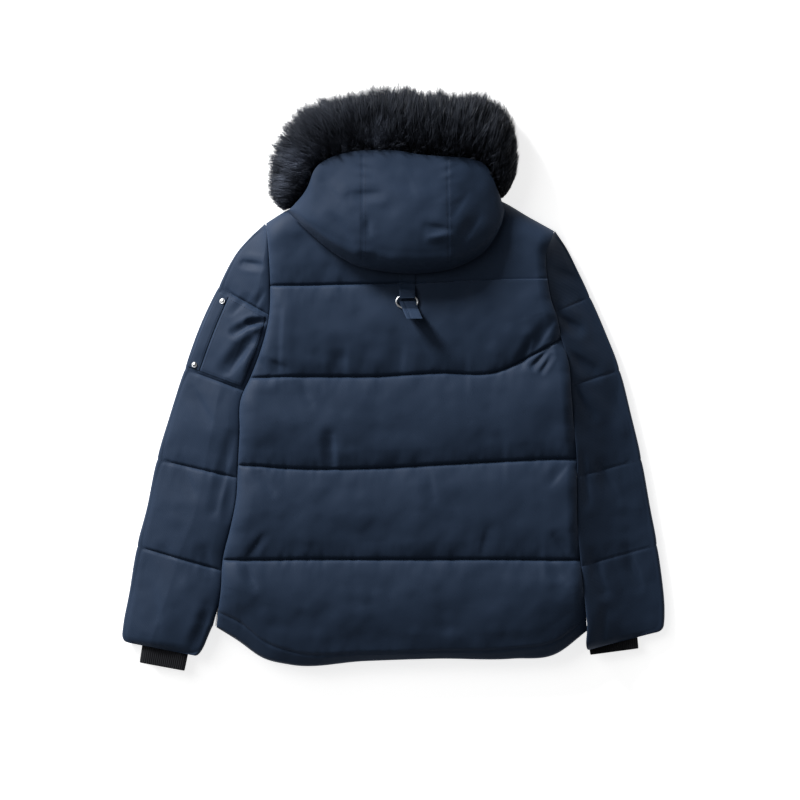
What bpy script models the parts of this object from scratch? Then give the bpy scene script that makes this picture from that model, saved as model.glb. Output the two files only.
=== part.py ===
"""Fur trimmed parka, laid face down and flat with its hood folded back.

A short hooded down coat lies on its front. Each panel is a wall of down between two
cloths, quilted across, and the panels lie on each other: the two fronts with their zip
on the surface, the back panel over them, a flattened sleeve on either side, the collar
under the hood and the hood's three panels over the yoke, with a roll of fur round the
hood's face edge. The rib cuffs, the hanger loop with its D-ring, the sleeve pocket with
two snaps and the two side vent zips are pieces of their own.

The sizes below are in millimetres and the objects are in metres, +Z up. X runs from the
coat's left sleeve to its right, Y from hem to hood, and the origin lies on the surface
under the middle of the coat.
"""

import math
from collections import namedtuple

import bmesh
import bpy
import numpy as np
from mathutils import Matrix, Vector
from mathutils.bvhtree import BVHTree

MM = 0.001
OBJECT_NAME = "fur_trimmed_parka"

# Gaps between pieces, and the heights at which the layers meet
SEAM_GAP = 0.3
FRONT_TOP = 28.0
RIM = 2.0
HOOD_SEAT = 58.0

# Quilting of the padded walls, as rises above the top of the fronts
QUILT_SEAM_RISE = 26.0
CHANNEL_STEPS = (0.0, 0.09, 0.27, 0.5, 0.73, 0.91)
HEM_STEPS = (0.0, 0.2, 0.6, 0.88)
NECK_STEPS = (0.97, 1.0)
PUFF_POWER = 0.6
HEM_STITCH_RISE = 22.0
HEM_CHANNEL_BEND = 1.5
HEM_ROUND = 0.7
YOKE_SEAM_RISE = 22.0
YOKE_FULL_FROM = 0.45
NECK_ROUND = 0.35

# How the back comes down to its side edges: the width of the slope and the share of
# the full height that is left at the edge
LEFT_EDGE_ROUND = 30.0
LEFT_EDGE_SHARE = 0.6
RIGHT_EDGE_ROUND = 13.0
RIGHT_EDGE_SHARE = 0.72

Fold = namedtuple("Fold", "piece x1 y1 x2 y2 width depth")

# The largest creases, as troughs from one end to the other, each with its half width
FOLDS = (
    Fold("sleeve_left", -203, 95, -250, 77, 8, 11),
    Fold("sleeve_left", -234, 58, -270, 12, 12, 8),
    Fold("sleeve_left", -244, 191, -218, 187, 8, 5),
    Fold("sleeve_right", 262, 104, 306, 84, 9, 7),
    Fold("sleeve_right", 290, 40, 330, 15, 12, 6),
    Fold("back_panel", 276, 48, 214, 12, 11, 7),
    Fold("back_panel", 262, 92, 226, 40, 10, 4),
    Fold("back_panel", -222, 34, -205, 6, 11, 6),
    Fold("back_panel", -101, -96, -98, -140, 10, 4),
    Fold("back_panel", -82, 50, -84, 8, 14, 4),
    Fold("back_panel", 13, 50, 10, 12, 14, 3),
    Fold("hood", -70, 300, -20, 301, 8, 5),
    Fold("hood", -40, 262, -36, 232, 8, 5),
    Fold("hood", 54, 247, 104, 252, 12, 6),
    Fold("hood", -50, 206, -16, 200, 7, 4),
)

# Places across the back panel, from its left edge to its right edge
STATIONS = (0.0, 0.06, 0.12, 0.2, 0.4, 0.6, 0.8, 0.92, 1.0)
BACK_COLUMNS = (
    0.0, 0.015, 0.045, 0.09, 0.15, 0.22, 0.3, 0.38, 0.46,
    0.54, 0.62, 0.7, 0.78, 0.85, 0.91, 0.955, 0.985, 1.0,
)

# name: the seam, hem or edge; rise: height of the channel above it; y: height of the
# line on the garment at each of the STATIONS
BackLine = namedtuple("BackLine", "name rise y")
BACK_LINES = (
    BackLine("hem", 22, (-412, -435, -457, -474, -464, -462, -462, -453, -418)),
    BackLine("hem_stitch", 37, (-386, -403, -432, -451, -453, -450, -446, -433, -398)),
    BackLine("quilt_4", 39, (-300, -300, -300, -299, -299, -299, -299, -300, -300)),
    BackLine("quilt_3", 39, (-144, -145, -148, -150, -149, -143, -137, -134, -134)),
    BackLine("quilt_2", 38, (0, 1, 2, 2, 2, 8, 16, 41, 64)),
    BackLine("yoke_seam", 30, (152, 152, 152, 153, 155, 158, 162, 163, 163)),
    BackLine("neck_edge", 0, (256, 274, 283, 289, 284, 287, 294, 264, 243)),
)

# The side of the body from the hem to the shoulder: x of each edge at a height y
EdgePoint = namedtuple("EdgePoint", "y x")
LEFT_EDGE = tuple(EdgePoint(*row) for row in (
    (-412, -290), (-386, -287), (-350, -282), (-300, -279), (-246, -266),
    (-201, -257), (-144, -254), (-92, -251), (-31, -248), (0, -234), (53, -214),
    (99, -203), (152, -201), (201, -203), (256, -208),
))
RIGHT_EDGE = tuple(EdgePoint(*row) for row in (
    (-418, 322), (-386, 319), (-350, 315), (-300, 310), (-243, 305), (-185, 304),
    (-135, 304), (-78, 299), (-28, 295), (30, 290), (64, 279), (99, 272),
    (129, 262), (163, 256), (203, 254), (243, 268),
))

# The front panels in rings from the surface up: how far each is drawn in from the
# outline, and how far its centre edge stands off the closing line
FrontRing = namedtuple("FrontRing", "z inset centre")
FRONT_RINGS = (
    FrontRing(0.0, 17.0, 4.3),
    FrontRing(6.0, 6.5, 4.3),
    FrontRing(7.2, 5.5, 0.15),
    FrontRing(16.0, 2.0, 0.15),
    FrontRing(FRONT_TOP, 1.5, 0.15),
)
CENTRE_FRONT = 25.0
FRONT_CORNER = 12.0
ZIP_HALF_WIDTH = 4.0
ZIP_BOTTOM = 0.6
ZIP_TOP = 5.6
FRONT_ZIP_START = -440.0
FRONT_ZIP_END = 235.0
FRONT_SLIDER_LENGTH = 13.0

# Sleeves in sections from the shoulder to the hem. Each section runs from its point
# on the outer edge to the body's edge at inner_y, from which it keeps clear by gap.
SleeveLine = namedtuple("SleeveLine", "outer_x outer_y inner_y gap")
SLEEVE_LEFT = tuple(SleeveLine(*row) for row in (
    (-210, 256, 249, 0.6),
    (-236, 232, 196, 0.8),
    (-261, 202, 154, 0.9),
    (-288, 151, 104, 0.9),
    (-318, 87, 46, 0.8),
    (-344, 15, -21, 1.8),
    (-368, -61, -92, 1.6),
    (-390, -135, -165, 1.0),
    (-406, -214, -241, 1.0),
    (-423, -279, -318, 1.0),
    (-435, -353, -372, 4.5),
    (-444, -399, -409, 8.0),
    (-449, -431, -459, 29.0),
))
SLEEVE_RIGHT = tuple(SleeveLine(*row) for row in (
    (270, 244, 237, 0.5),
    (290, 214, 201, 0.5),
    (308, 178, 160, 0.5),
    (329, 134, 109, 0.5),
    (356, 71, 54, 0.5),
    (378, 13, -13, 1.0),
    (397, -63, -89, 1.0),
    (414, -135, -163, 1.0),
    (428, -214, -238, 1.0),
    (440, -277, -310, 1.0),
    (450, -353, -366, 4.3),
    (452, -391, -404, 4.3),
    (450, -421, -449, -3.5),
))
SLEEVE_SEAM_LINES = (0, 3, 5, 7, 9, 12)
SLEEVE_STEPS = (0.0, 0.1, 0.3, 0.55, 0.8, 0.93, 0.98)
LINE_SPACING = 36.0

# How each sleeve lies: the heights of its outer seam and of its fullest line, its share
# of that height at the outer seam, how deep its quilting is, how much thinner it is at
# the hem, and by line number where its fullest line lies, how hollow the slope up to it
# is, and over what width and to what share of its height it comes down to the body
SleeveForm = namedtuple("SleeveForm", "seam_z top outer groove thinning lines")
SleeveSlope = namedtuple("SleeveSlope", "line ridge bend inner_round inner_share")
SLEEVE_FORMS = {
    "sleeve_left": SleeveForm(16.0, 55.0, 0.24, 0.34, 0.16, tuple(
        SleeveSlope(*row) for row in (
            (0, 0.80, 0.85, 0.22, 0.78),
            (9, 0.52, 0.85, 0.22, 0.78),
            (11, 0.45, 0.70, 0.45, 0.10),
            (12, 0.42, 0.70, 0.45, 0.10),
        ))),
    "sleeve_right": SleeveForm(11.0, 62.0, 0.17, 0.16, 0.0, tuple(
        SleeveSlope(*row) for row in (
            (0, 1.0, 1.0, 0.05, 0.96),
            (9, 1.0, 1.5, 0.05, 0.96),
            (11, 1.0, 1.6, 0.10, 0.80),
            (12, 1.0, 1.6, 0.10, 0.80),
        ))),
}
SLEEVE_OUTER_ROUND = 0.1
SLEEVE_LEAST_RISE = 6.2
SLEEVE_LEAST_WIDTH = 0.04

# The hem end of a sleeve: the roll of its edge and its rounded corners
SLEEVE_HEM_ROLL = 12.0
SLEEVE_HEM_SHARE = 0.35
SLEEVE_CORNER_LINES = 0.4
SLEEVE_CORNER = 10.0
SLEEVE_INNER_CORNER = 7.0
SLEEVE_ACROSS = (0.0, 0.03, 0.1, 0.22, 0.24, 0.38, 0.54, 0.7, 0.84, 0.93, 0.98, 1.0)
SLEEVE_UNDER = (0.99, 0.93, 0.8, 0.2, 0.07, 0.01)
SLEEVE_UNDER_Z = (0.45, 0.1, 0.0, 0.0, 0.1, 0.45)

# The slit between the two walls of a sleeve, from the hem up: section lines back from
# the hem, half its height and the wall left at its sides
SlitLine = namedtuple("SlitLine", "back height wall")
SLIT_SECTIONS = (
    SlitLine(0.0, 4.6, 7.0),
    SlitLine(1.0, 4.8, 3.0),
    SlitLine(1.4, 0.8, 12.0),
    SlitLine(5.0, 0.8, 26.0),
    SlitLine(8.0, 0.8, 26.0),
    SlitLine(10.3, 0.8, 26.0),
)
SLIT_END_STEEPNESS = 34.0
SHOULDER_THINNING = 55.0
SHOULDER_FLAT_WIDTH = 70.0

# Rib cuffs: the middle of the band where it leaves the sleeve, its direction, its width
# and how much higher its right side lies than its left
Cuff = namedtuple("Cuff", "name x y z turn width tilt")
CUFFS = (
    Cuff("cuff_left", -375, -452, 22.8, 10.0, 76.6, 6.8),
    Cuff("cuff_right", 371, -430, 21.4, -7.0, 75.0, -10.6),
)
CUFF_OUTSIDE = 26.0
CUFF_INSIDE = 22.0
CUFF_HALF_THICKNESS = 3.6
CUFF_WALL = 2.6
RIB_PITCH = 3.4
RIB_DEPTH = 0.7

# The hood and its fur: sections round the face opening, each from the crown fold at
# the bottom (low) to the edge sewn to the fur (up), and on to the fur's tips (fur),
# with the height of the fur roll there
HoodLine = namedtuple("HoodLine", "low_x low_y up_x up_y fur_x fur_y fur_z")
HOOD_LINES = tuple(HoodLine(*row) for row in (
    (-172, 274, -162, 283, -181, 279, 44),
    (-157, 259, -147, 299, -198, 296, 66),
    (-142, 244, -137, 315, -205, 320, 78),
    (-125, 229, -127, 340, -201, 360, 86),
    (-106, 213, -111, 355, -186, 399, 92),
    (-79, 195, -84, 366, -145, 449, 96),
    (-48, 181, -48, 372, -78, 469, 98),
    (10, 172, 5, 372, 10, 480, 98),
    (53, 172, 50, 365, 54, 474, 98),
    (94, 178, 91, 362, 96, 469, 97),
    (125, 190, 124, 360, 154, 466, 95),
    (149, 205, 152, 350, 190, 440, 91),
    (165, 223, 165, 328, 205, 389, 86),
    (177, 243, 173, 310, 206, 350, 78),
    (184, 262, 177, 300, 196, 317, 64),
    (187, 272, 178, 297, 184, 300, 44),
))
HOOD_PANELS = (
    ("hood_left", 0, 6, 13),
    ("hood_center", 6, 9, 10),
    ("hood_right", 9, 15, 13),
)
HOOD_ROWS = (0.0, 0.02, 0.06, 0.13, 0.23, 0.35, 0.48, 0.61, 0.74, 0.86, 0.95, 1.0)
HOOD_RISE = 60.0
HOOD_FOLD_RADIUS = 14.0
HOOD_FOLD_SHARE = 0.4
HOOD_TIP_LENGTH = 40.0
HOOD_LEAST_RISE = 12.0
HOOD_PANEL_SEAM = 1.2
HOOD_SEAM_WIDTH = 0.35

# The hood's fullness from the crown fold to the sewn edge where it is longest, and how
# it falls away to both sides of its middle and over its right panel
HOOD_DOME_SHARES = (0.0, 0.16, 0.34, 0.6, 1.0)
HOOD_DOME_RISES = (0.44, 0.82, 1.0, 0.90, 0.60)
HOOD_FULLEST_SHARE = 0.34
HOOD_FULL_LENGTH = 200.0
HOOD_MIDDLE_X = 8.0
HOOD_HALF_WIDTH = 200.0
HOOD_SIDE_FALL = 0.64
HOOD_SIDE_BEND = 1.7
HOOD_RIGHT_PANEL_X = 92.0
HOOD_RIGHT_FALL = 0.0016
HOOD_TIP_INSET = 0.07

# Each under ring of the hood: height over the seat and how far it is drawn in
HoodRing = namedtuple("HoodRing", "rise inset")
HOOD_RINGS = (HoodRing(9.0, 4.0), HoodRing(SEAM_GAP, 15.0))
HOOD_EDGE_INSET = 0.2

COLLAR_LEFT = 0.19
COLLAR_RIGHT = 0.78
COLLAR_TOP_Y = 344.0
COLLAR_END_RISE = 20.0
COLLAR_GAP = 0.9
COLLAR_DRAW = 0.35
COLLAR_POINTS = 12
CollarRing = namedtuple("CollarRing", "z inset")
COLLAR_RINGS = (
    CollarRing(0.0, 13.0),
    CollarRing(7.0, 3.0),
    CollarRing(28.0, 0.0),
    CollarRing(50.0, 3.0),
    CollarRing(HOOD_SEAT, 13.0),
)

# The fur roll's section: distance out from the sewn edge, and height, as shares
FurPoint = namedtuple("FurPoint", "out rise")
FUR_SECTION = tuple(FurPoint(*row) for row in (
    (0.0, 0.02), (0.0, 0.35), (0.0, 0.72), (0.09, 0.92), (0.28, 1.0), (0.52, 0.96),
    (0.75, 0.82), (0.91, 0.6), (1.0, 0.33), (0.97, 0.1), (0.88, 0.0), (0.1, 0.0),
))
FUR_STEPS = 2
FUR_GAP = 0.5

# Hanger loop below the hood: strap, ring and tab, with the y of each end
STRAP_WIDTH = 26.0
STRAP_THICKNESS = 2.4
STRAP_X = 25.0
STRAP_TOP_Y = 177.0
STRAP_END_Y = 131.0
TAB_TOP_Y = 125.5
TAB_END_Y = 97.0
TAB_SHIFT = 12.0
TAB_LIFT = 26.0
TAB_FLAT_SHARE = 0.45
RING_X = 24.5
RING_Y = 125.0
RING_HALF_WIDTH = 17.5
RING_HALF_HEIGHT = 11.0
RING_WIRE = 1.5
RING_CLEAR_LENGTH = 6.0
SURFACE_GAP = 0.5

# Sleeve pocket: section lines along the sleeve and shares across it from the outside
POCKET_START = 3.1
POCKET_END = 4.92
POCKET_LIFT = 2.0
PLACKET_COLUMNS = (1, 3)
POCKET_COLUMNS = (4, 9)
Snap = namedtuple("Snap", "name line across")
SNAPS = (
    Snap("pocket_snap_upper", 3.27, 0.17),
    Snap("pocket_snap_lower", 4.84, 0.13),
)
SNAP_RADIUS = 5.0
SNAP_HEIGHT = 2.6
SNAP_GAP = 0.45

# Side vents: a closed zip along each side edge above the hem, under a slider
VentZip = namedtuple("VentZip", "name side start end")
VENT_ZIPS = (
    VentZip("side_zip_left", -1, -410.0, -385.0),
    VentZip("side_zip_right", 1, -401.0, -386.0),
)
VENT_WIDTH = 3.0
VENT_Z = 22.0
VENT_HEIGHT = 5.0
SLIDER_LENGTH = 9.0

NAVY_CLOTH = ((0.016, 0.024, 0.045, 1.0), 0.62, 0.0)
FUR_BLACK = ((0.006, 0.007, 0.010, 1.0), 0.85, 0.0)
RIB_BLACK = ((0.006, 0.007, 0.010, 1.0), 0.9, 0.0)
BRIGHT_METAL = ((0.72, 0.73, 0.75, 1.0), 0.25, 1.0)


def clear_scene():
    """Remove what the scene holds."""
    for item in list(bpy.data.objects):
        bpy.data.objects.remove(item, do_unlink=True)


def smooth(knots, values, at):
    """The value at a place on a curve without kinks through values at knots."""
    knots = np.asarray(knots, float)
    values = np.asarray(values, float)
    slopes = np.gradient(values, knots)
    at = min(max(at, knots[0]), knots[-1])
    i = int(np.clip(np.searchsorted(knots, at, side="right") - 1, 0, len(knots) - 2))
    span = knots[i + 1] - knots[i]
    t = (at - knots[i]) / span
    rise = values[i + 1] - values[i]
    near = slopes[i] * span
    far = slopes[i + 1] * span
    return float(values[i] + near * t + (3 * rise - 2 * near - far) * t**2
                 + (near + far - 2 * rise) * t**3)


def mix(a, b, share):
    """The value that lies a share of the way from a to b."""
    return a + (b - a) * share


def round_over(distance, radius):
    """0 at an edge, rising on a quarter circle to 1 at radius from it."""
    share = min(max(distance / radius, 0.0), 1.0)
    return math.sqrt(1.0 - (1.0 - share) ** 2)


def puff(share):
    """Height of a down channel between its two seams, from 0 to 1."""
    return math.sin(math.pi * min(max(share, 0.0), 1.0)) ** PUFF_POWER


def fold_depth(piece, x, y):
    """How far the creases of a piece draw its surface in at a point."""
    depth = 0.0
    for fold in FOLDS:
        if fold.piece != piece:
            continue
        along = Vector((fold.x2 - fold.x1, fold.y2 - fold.y1))
        share = (Vector((x - fold.x1, y - fold.y1)).dot(along)) / along.length_squared
        share = min(max(share, 0.0), 1.0)
        nearest = Vector((fold.x1, fold.y1)) + along * share
        away = (Vector((x, y)) - nearest).length / fold.width
        depth += fold.depth * math.exp(-away * away)
    return depth


def edge_x(edge, y):
    """Where the body's edge lies at a height on the garment."""
    return smooth([p.y for p in edge], [p.x for p in edge], y)


def make_material(name, finish):
    """A Principled material from a colour, a roughness and a metallic value."""
    colour, roughness, metallic = finish
    material = bpy.data.materials.new(name)
    material.use_nodes = True
    shader = material.node_tree.nodes["Principled BSDF"]
    shader.inputs["Base Color"].default_value = colour
    shader.inputs["Roughness"].default_value = roughness
    shader.inputs["Metallic"].default_value = metallic
    return material


def add_solid(name, points, faces, finish):
    """Make one closed object from points in millimetres and its faces."""
    mesh = bpy.data.meshes.new(name)
    mesh.from_pydata([Vector(p) * MM for p in points], [], faces)
    shape = bmesh.new()
    shape.from_mesh(mesh)
    bmesh.ops.recalc_face_normals(shape, faces=shape.faces)
    shape.to_mesh(mesh)
    shape.free()
    mesh.materials.append(make_material(name, finish))
    mesh.shade_smooth()
    mesh.set_sharp_from_angle(angle=math.radians(50))
    part = bpy.data.objects.new(name, mesh)
    PARTS.objects.link(part)
    return part


def strip_faces(first, second, closed=True):
    """Triangles between two rows of points given by their numbers."""
    faces = []
    count = len(first)
    for i in range(count if closed else count - 1):
        j = (i + 1) % count
        faces.append((first[i], first[j], second[j]))
        faces.append((first[i], second[j], second[i]))
    return faces


def add_panel(name, top, under_rings, finish):
    """A grid of outer points over rings of inner ones, closed by a flat face.

    Each ring has a point for each point of the grid's border, in border order.
    """
    points = [p for row in top for p in row]
    rows = len(top)
    columns = len(top[0])
    numbers = [[r * columns + c for c in range(columns)] for r in range(rows)]
    faces = []
    for r in range(rows - 1):
        faces += strip_faces(numbers[r], numbers[r + 1], closed=False)
    loop = [numbers[r][c] for r, c in border(rows, columns)]
    for ring in under_rings:
        below = list(range(len(points), len(points) + len(ring)))
        points += ring
        faces += strip_faces(loop, below)
        loop = below
    faces.append(tuple(loop))
    return add_solid(name, points, faces, finish)


def border(rows, columns):
    """The grid places round the border of a grid, in order."""
    path = [(0, c) for c in range(columns)]
    path += [(r, columns - 1) for r in range(1, rows)]
    path += [(rows - 1, c) for c in range(columns - 2, -1, -1)]
    path += [(r, 0) for r in range(rows - 2, 0, -1)]
    return path


def add_stack(name, rings, finish):
    """Rings of equally many points joined one above another, closed at both ends."""
    points = []
    faces = []
    loops = []
    for ring in rings:
        loops.append(list(range(len(points), len(points) + len(ring))))
        points += ring
    for lower, upper in zip(loops, loops[1:]):
        faces += strip_faces(lower, upper)
    faces.append(tuple(loops[0]))
    faces.append(tuple(loops[-1]))
    return add_solid(name, points, faces, finish)


def add_box(name, low, high, finish):
    """A block between two corners in millimetres."""
    bpy.ops.mesh.primitive_cube_add(size=1.0)
    part = bpy.context.object
    part.name = name
    part.data.name = name
    size = (Vector(high) - Vector(low)) * MM
    middle = (Vector(high) + Vector(low)) * 0.5 * MM
    part.data.transform(Matrix.Translation(middle) @ Matrix.Diagonal(size.to_4d()))
    part.data.materials.append(make_material(name, finish))
    for collection in list(part.users_collection):
        collection.objects.unlink(part)
    PARTS.objects.link(part)
    return part


# Body

def back_rows():
    """The rows of the back panel: line number, share of the channel, y at u."""
    rows = []
    for i in range(len(BACK_LINES) - 1):
        steps = CHANNEL_STEPS
        if BACK_LINES[i].name == "hem":
            steps = HEM_STEPS
        for step in steps:
            rows.append((i, step))
    rows += [(len(BACK_LINES) - 2, step) for step in NECK_STEPS]
    return rows


def back_place(line, step, u):
    """The point of the back panel at a row and a share across, without its height."""
    lower = BACK_LINES[line]
    upper = BACK_LINES[line + 1]
    y = mix(smooth(STATIONS, lower.y, u), smooth(STATIONS, upper.y, u), step)
    left_y = mix(lower.y[0], upper.y[0], step)
    right_y = mix(lower.y[-1], upper.y[-1], step)
    x = mix(edge_x(LEFT_EDGE, left_y), edge_x(RIGHT_EDGE, right_y), u)
    return x, y


def back_height(line, step, u):
    """Height of the back panel's outer face at a row and a share across."""
    x, y = back_place(line, step, u)
    left_x = back_place(line, step, 0.0)[0]
    right_x = back_place(line, step, 1.0)[0]
    lower = BACK_LINES[line]
    side = mix(LEFT_EDGE_SHARE, 1.0, round_over(x - left_x, LEFT_EDGE_ROUND))
    side *= mix(RIGHT_EDGE_SHARE, 1.0, round_over(right_x - x, RIGHT_EDGE_ROUND))
    if lower.name == "hem":
        rise = lower.rise * round_over(step, HEM_ROUND)
    elif BACK_LINES[line + 1].name == "neck_edge":
        seam = YOKE_SEAM_RISE * (1.0 - step)
        rise = max(seam, lower.rise * puff(0.5 * min(step / YOKE_FULL_FROM, 1.0)))
        rise *= round_over(1.0 - step, NECK_ROUND)
    elif lower.name == "hem_stitch":
        start = mix(HEM_STITCH_RISE, QUILT_SEAM_RISE, step)
        rise = start + (lower.rise - start) * puff(step ** HEM_CHANNEL_BEND)
    else:
        rise = QUILT_SEAM_RISE + (lower.rise - QUILT_SEAM_RISE) * puff(step)
    depth = fold_depth("back_panel", x, y) * side
    return FRONT_TOP + max(side * rise - depth, RIM)


def add_back_panel():
    """The back: yoke, three quilted channels and the stitched hem."""
    rows = back_rows()
    top = [[back_place(line, step, u) + (back_height(line, step, u),)
            for u in BACK_COLUMNS] for line, step in rows]
    ring = []
    for r, c in border(len(rows), len(BACK_COLUMNS)):
        x, y, z = top[r][c]
        ring.append((x, y, FRONT_TOP + SEAM_GAP))
    return add_panel("back_panel", top, [ring], NAVY_CLOTH)


def body_outline(inset):
    """The outline of the back panel as a loop of flat points, drawn in by inset."""
    hem = BACK_LINES[0].y
    neck = BACK_LINES[-1].y
    rows = back_rows()
    outline = []
    for r, c in border(len(rows), len(BACK_COLUMNS)):
        u = BACK_COLUMNS[c]
        drawn = []
        for across in (u, 0.0, 1.0):
            low = smooth(STATIONS, hem, across)
            high = smooth(STATIONS, neck, across)
            y = back_place(*rows[r], across)[1]
            share = (y - low) / (high - low)
            drawn.append(mix(low + inset, high - inset, share))
        y, left_y, right_y = drawn
        left = edge_x(LEFT_EDGE, left_y) + inset
        right = edge_x(RIGHT_EDGE, right_y) - inset
        outline.append((mix(left, right, u), y))
    return outline


def add_front(name, side):
    """One front panel, flat on the surface, from the closing line to the side."""
    outline = body_outline(0.0)
    count = len(outline)
    held = [(x - CENTRE_FRONT) * side > FRONT_CORNER for x, y in outline]
    first = next(i for i in range(count) if held[i] and not held[i - 1])
    order = [(first + i) % count for i in range(sum(held))]
    rings = []
    for level in FRONT_RINGS:
        centre = CENTRE_FRONT + side * level.centre
        moved = body_outline(level.inset)
        kept = [moved[i] for i in order]
        ring = [(centre, kept[0][1])] + kept + [(centre, kept[-1][1])]
        rings.append([(x, y, level.z) for x, y in ring])
    return add_stack(name, rings, NAVY_CLOTH)


def add_front_zip():
    """The closed front zip between the fronts, and its slider at the top."""
    low = (CENTRE_FRONT - ZIP_HALF_WIDTH, FRONT_ZIP_START, ZIP_BOTTOM)
    high = (CENTRE_FRONT + ZIP_HALF_WIDTH, FRONT_ZIP_END, ZIP_TOP)
    add_box("front_zip", low, high, BRIGHT_METAL)
    start = FRONT_ZIP_END + SEAM_GAP
    low = (CENTRE_FRONT - ZIP_HALF_WIDTH, start, ZIP_BOTTOM)
    high = (CENTRE_FRONT + ZIP_HALF_WIDTH, start + FRONT_SLIDER_LENGTH, ZIP_TOP)
    add_box("front_zip_slider", low, high, BRIGHT_METAL)


# Sleeves

def sleeve_ends(name, line):
    """The outer and inner end of a sleeve section at a line number."""
    table, edge, side = SLEEVES[name]
    numbers = range(len(table))
    outer_x = smooth(numbers, [row.outer_x for row in table], line)
    outer_y = smooth(numbers, [row.outer_y for row in table], line)
    inner_y = smooth(numbers, [row.inner_y for row in table], line)
    i = min(int(line), len(table) - 2)
    gap = mix(table[i].gap, table[i + 1].gap, line - i)
    inner_x = edge_x(edge, inner_y) + side * gap
    hemward = 1.0 - (numbers[-1] - line) / SLEEVE_CORNER_LINES
    corner = 1.0 - round_over(1.0 - hemward, 1.0)
    outer_x -= side * SLEEVE_CORNER * corner
    inner_x += side * SLEEVE_INNER_CORNER * corner
    return Vector((outer_x, outer_y)), Vector((inner_x, inner_y))


def sleeve_lines():
    """Line numbers of the sleeve's sections, closer together at its seams."""
    lines = []
    for start, end in zip(SLEEVE_SEAM_LINES, SLEEVE_SEAM_LINES[1:]):
        lines += [mix(start, end, step) for step in SLEEVE_STEPS]
    lines.append(SLEEVE_SEAM_LINES[-1])
    return lines


def sleeve_quilt(line):
    """Depth of the quilting at a line: 1 at a seam and 0 between seams."""
    for start, end in zip(SLEEVE_SEAM_LINES, SLEEVE_SEAM_LINES[1:]):
        if line <= end:
            share = (line - start) / (end - start)
            break
    if line < SLEEVE_SEAM_LINES[1]:
        share = max(share, 0.5)
    return 1.0 - puff(share)


def sleeve_middle(name, across):
    """Height of a sleeve's edge seams and of the plane between its two walls."""
    return mix(SLEEVE_FORMS[name].seam_z, FRONT_TOP, across)


def sleeve_slope(name, line):
    """How a sleeve's outer face lies across at a line number."""
    rows = SLEEVE_FORMS[name].lines
    i = next(i for i in range(len(rows) - 1) if line <= rows[i + 1].line)
    share = (line - rows[i].line) / (rows[i + 1].line - rows[i].line)
    return SleeveSlope(*(mix(a, b, share) for a, b in zip(rows[i], rows[i + 1])))


def sleeve_point(name, line, across):
    """A point of a sleeve's outer face at a line number and a share across."""
    form = SLEEVE_FORMS[name]
    slope = sleeve_slope(name, line)
    outer, inner = sleeve_ends(name, line)
    width = (inner - outer).length
    place = outer.lerp(inner, across)
    full = 1.0 - math.exp(-width / SHOULDER_THINNING)
    climb = min(across / slope.ridge, 1.0) ** slope.bend
    rounding = round_over(across, SLEEVE_OUTER_ROUND) * mix(form.outer, 1.0, climb)
    inner_edge = round_over(1.0 - across, slope.inner_round)
    rounding *= mix(slope.inner_share, 1.0, inner_edge)
    down = line / SLEEVE_SEAM_LINES[-1]
    rise = (form.top - FRONT_TOP) * (1.0 - form.thinning * down)
    rise *= full - form.groove * sleeve_quilt(line)
    from_hem = (SLEEVE_SEAM_LINES[-1] - line) * LINE_SPACING
    rise *= mix(SLEEVE_HEM_SHARE, 1.0, round_over(from_hem, SLEEVE_HEM_ROLL))
    rise = (rise - fold_depth(name, place.x, place.y)) * rounding
    least = SLEEVE_LEAST_RISE * round_over(min(across, 1.0 - across), SLEEVE_LEAST_WIDTH)
    return place.x, place.y, sleeve_middle(name, across) + max(rise, least)


def sleeve_ring(name, line):
    """The closed outer ring of a sleeve section."""
    outer, inner = sleeve_ends(name, line)
    full = round_over((inner - outer).length, SHOULDER_FLAT_WIDTH)
    ring = [sleeve_point(name, line, across) for across in SLEEVE_ACROSS]
    for across, height in zip(SLEEVE_UNDER, SLEEVE_UNDER_Z):
        place = outer.lerp(inner, across)
        middle = sleeve_middle(name, across)
        ring.append((place.x, place.y, mix(middle * (1.0 - full), middle, height)))
    return ring


def slit_ring(name, line, half_height, edge_wall):
    """The inner ring where the two walls of a sleeve lie on each other."""
    outer, inner = sleeve_ends(name, line)
    width = (inner - outer).length
    wall = min(edge_wall, 0.33 * width) / width
    ring = []
    for shares, side in ((SLEEVE_ACROSS, 1.0), (SLEEVE_UNDER, -1.0)):
        for across in shares:
            share = mix(wall, 1.0 - wall, across)
            place = outer.lerp(inner, share)
            bulge = min(1.0, SLIT_END_STEEPNESS * min(across, 1.0 - across))
            z = sleeve_middle(name, share) + side * half_height * bulge
            ring.append((place.x, place.y, z))
    return ring


def add_sleeve(name):
    """A flattened sleeve: a padded tube, open at the hem for its cuff."""
    rings = [sleeve_ring(name, line) for line in sleeve_lines()]
    last = SLEEVE_SEAM_LINES[-1]
    for back, height, wall in SLIT_SECTIONS:
        rings.append(slit_ring(name, last - back, height, wall))
    return add_stack(name, rings, NAVY_CLOTH)


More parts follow.
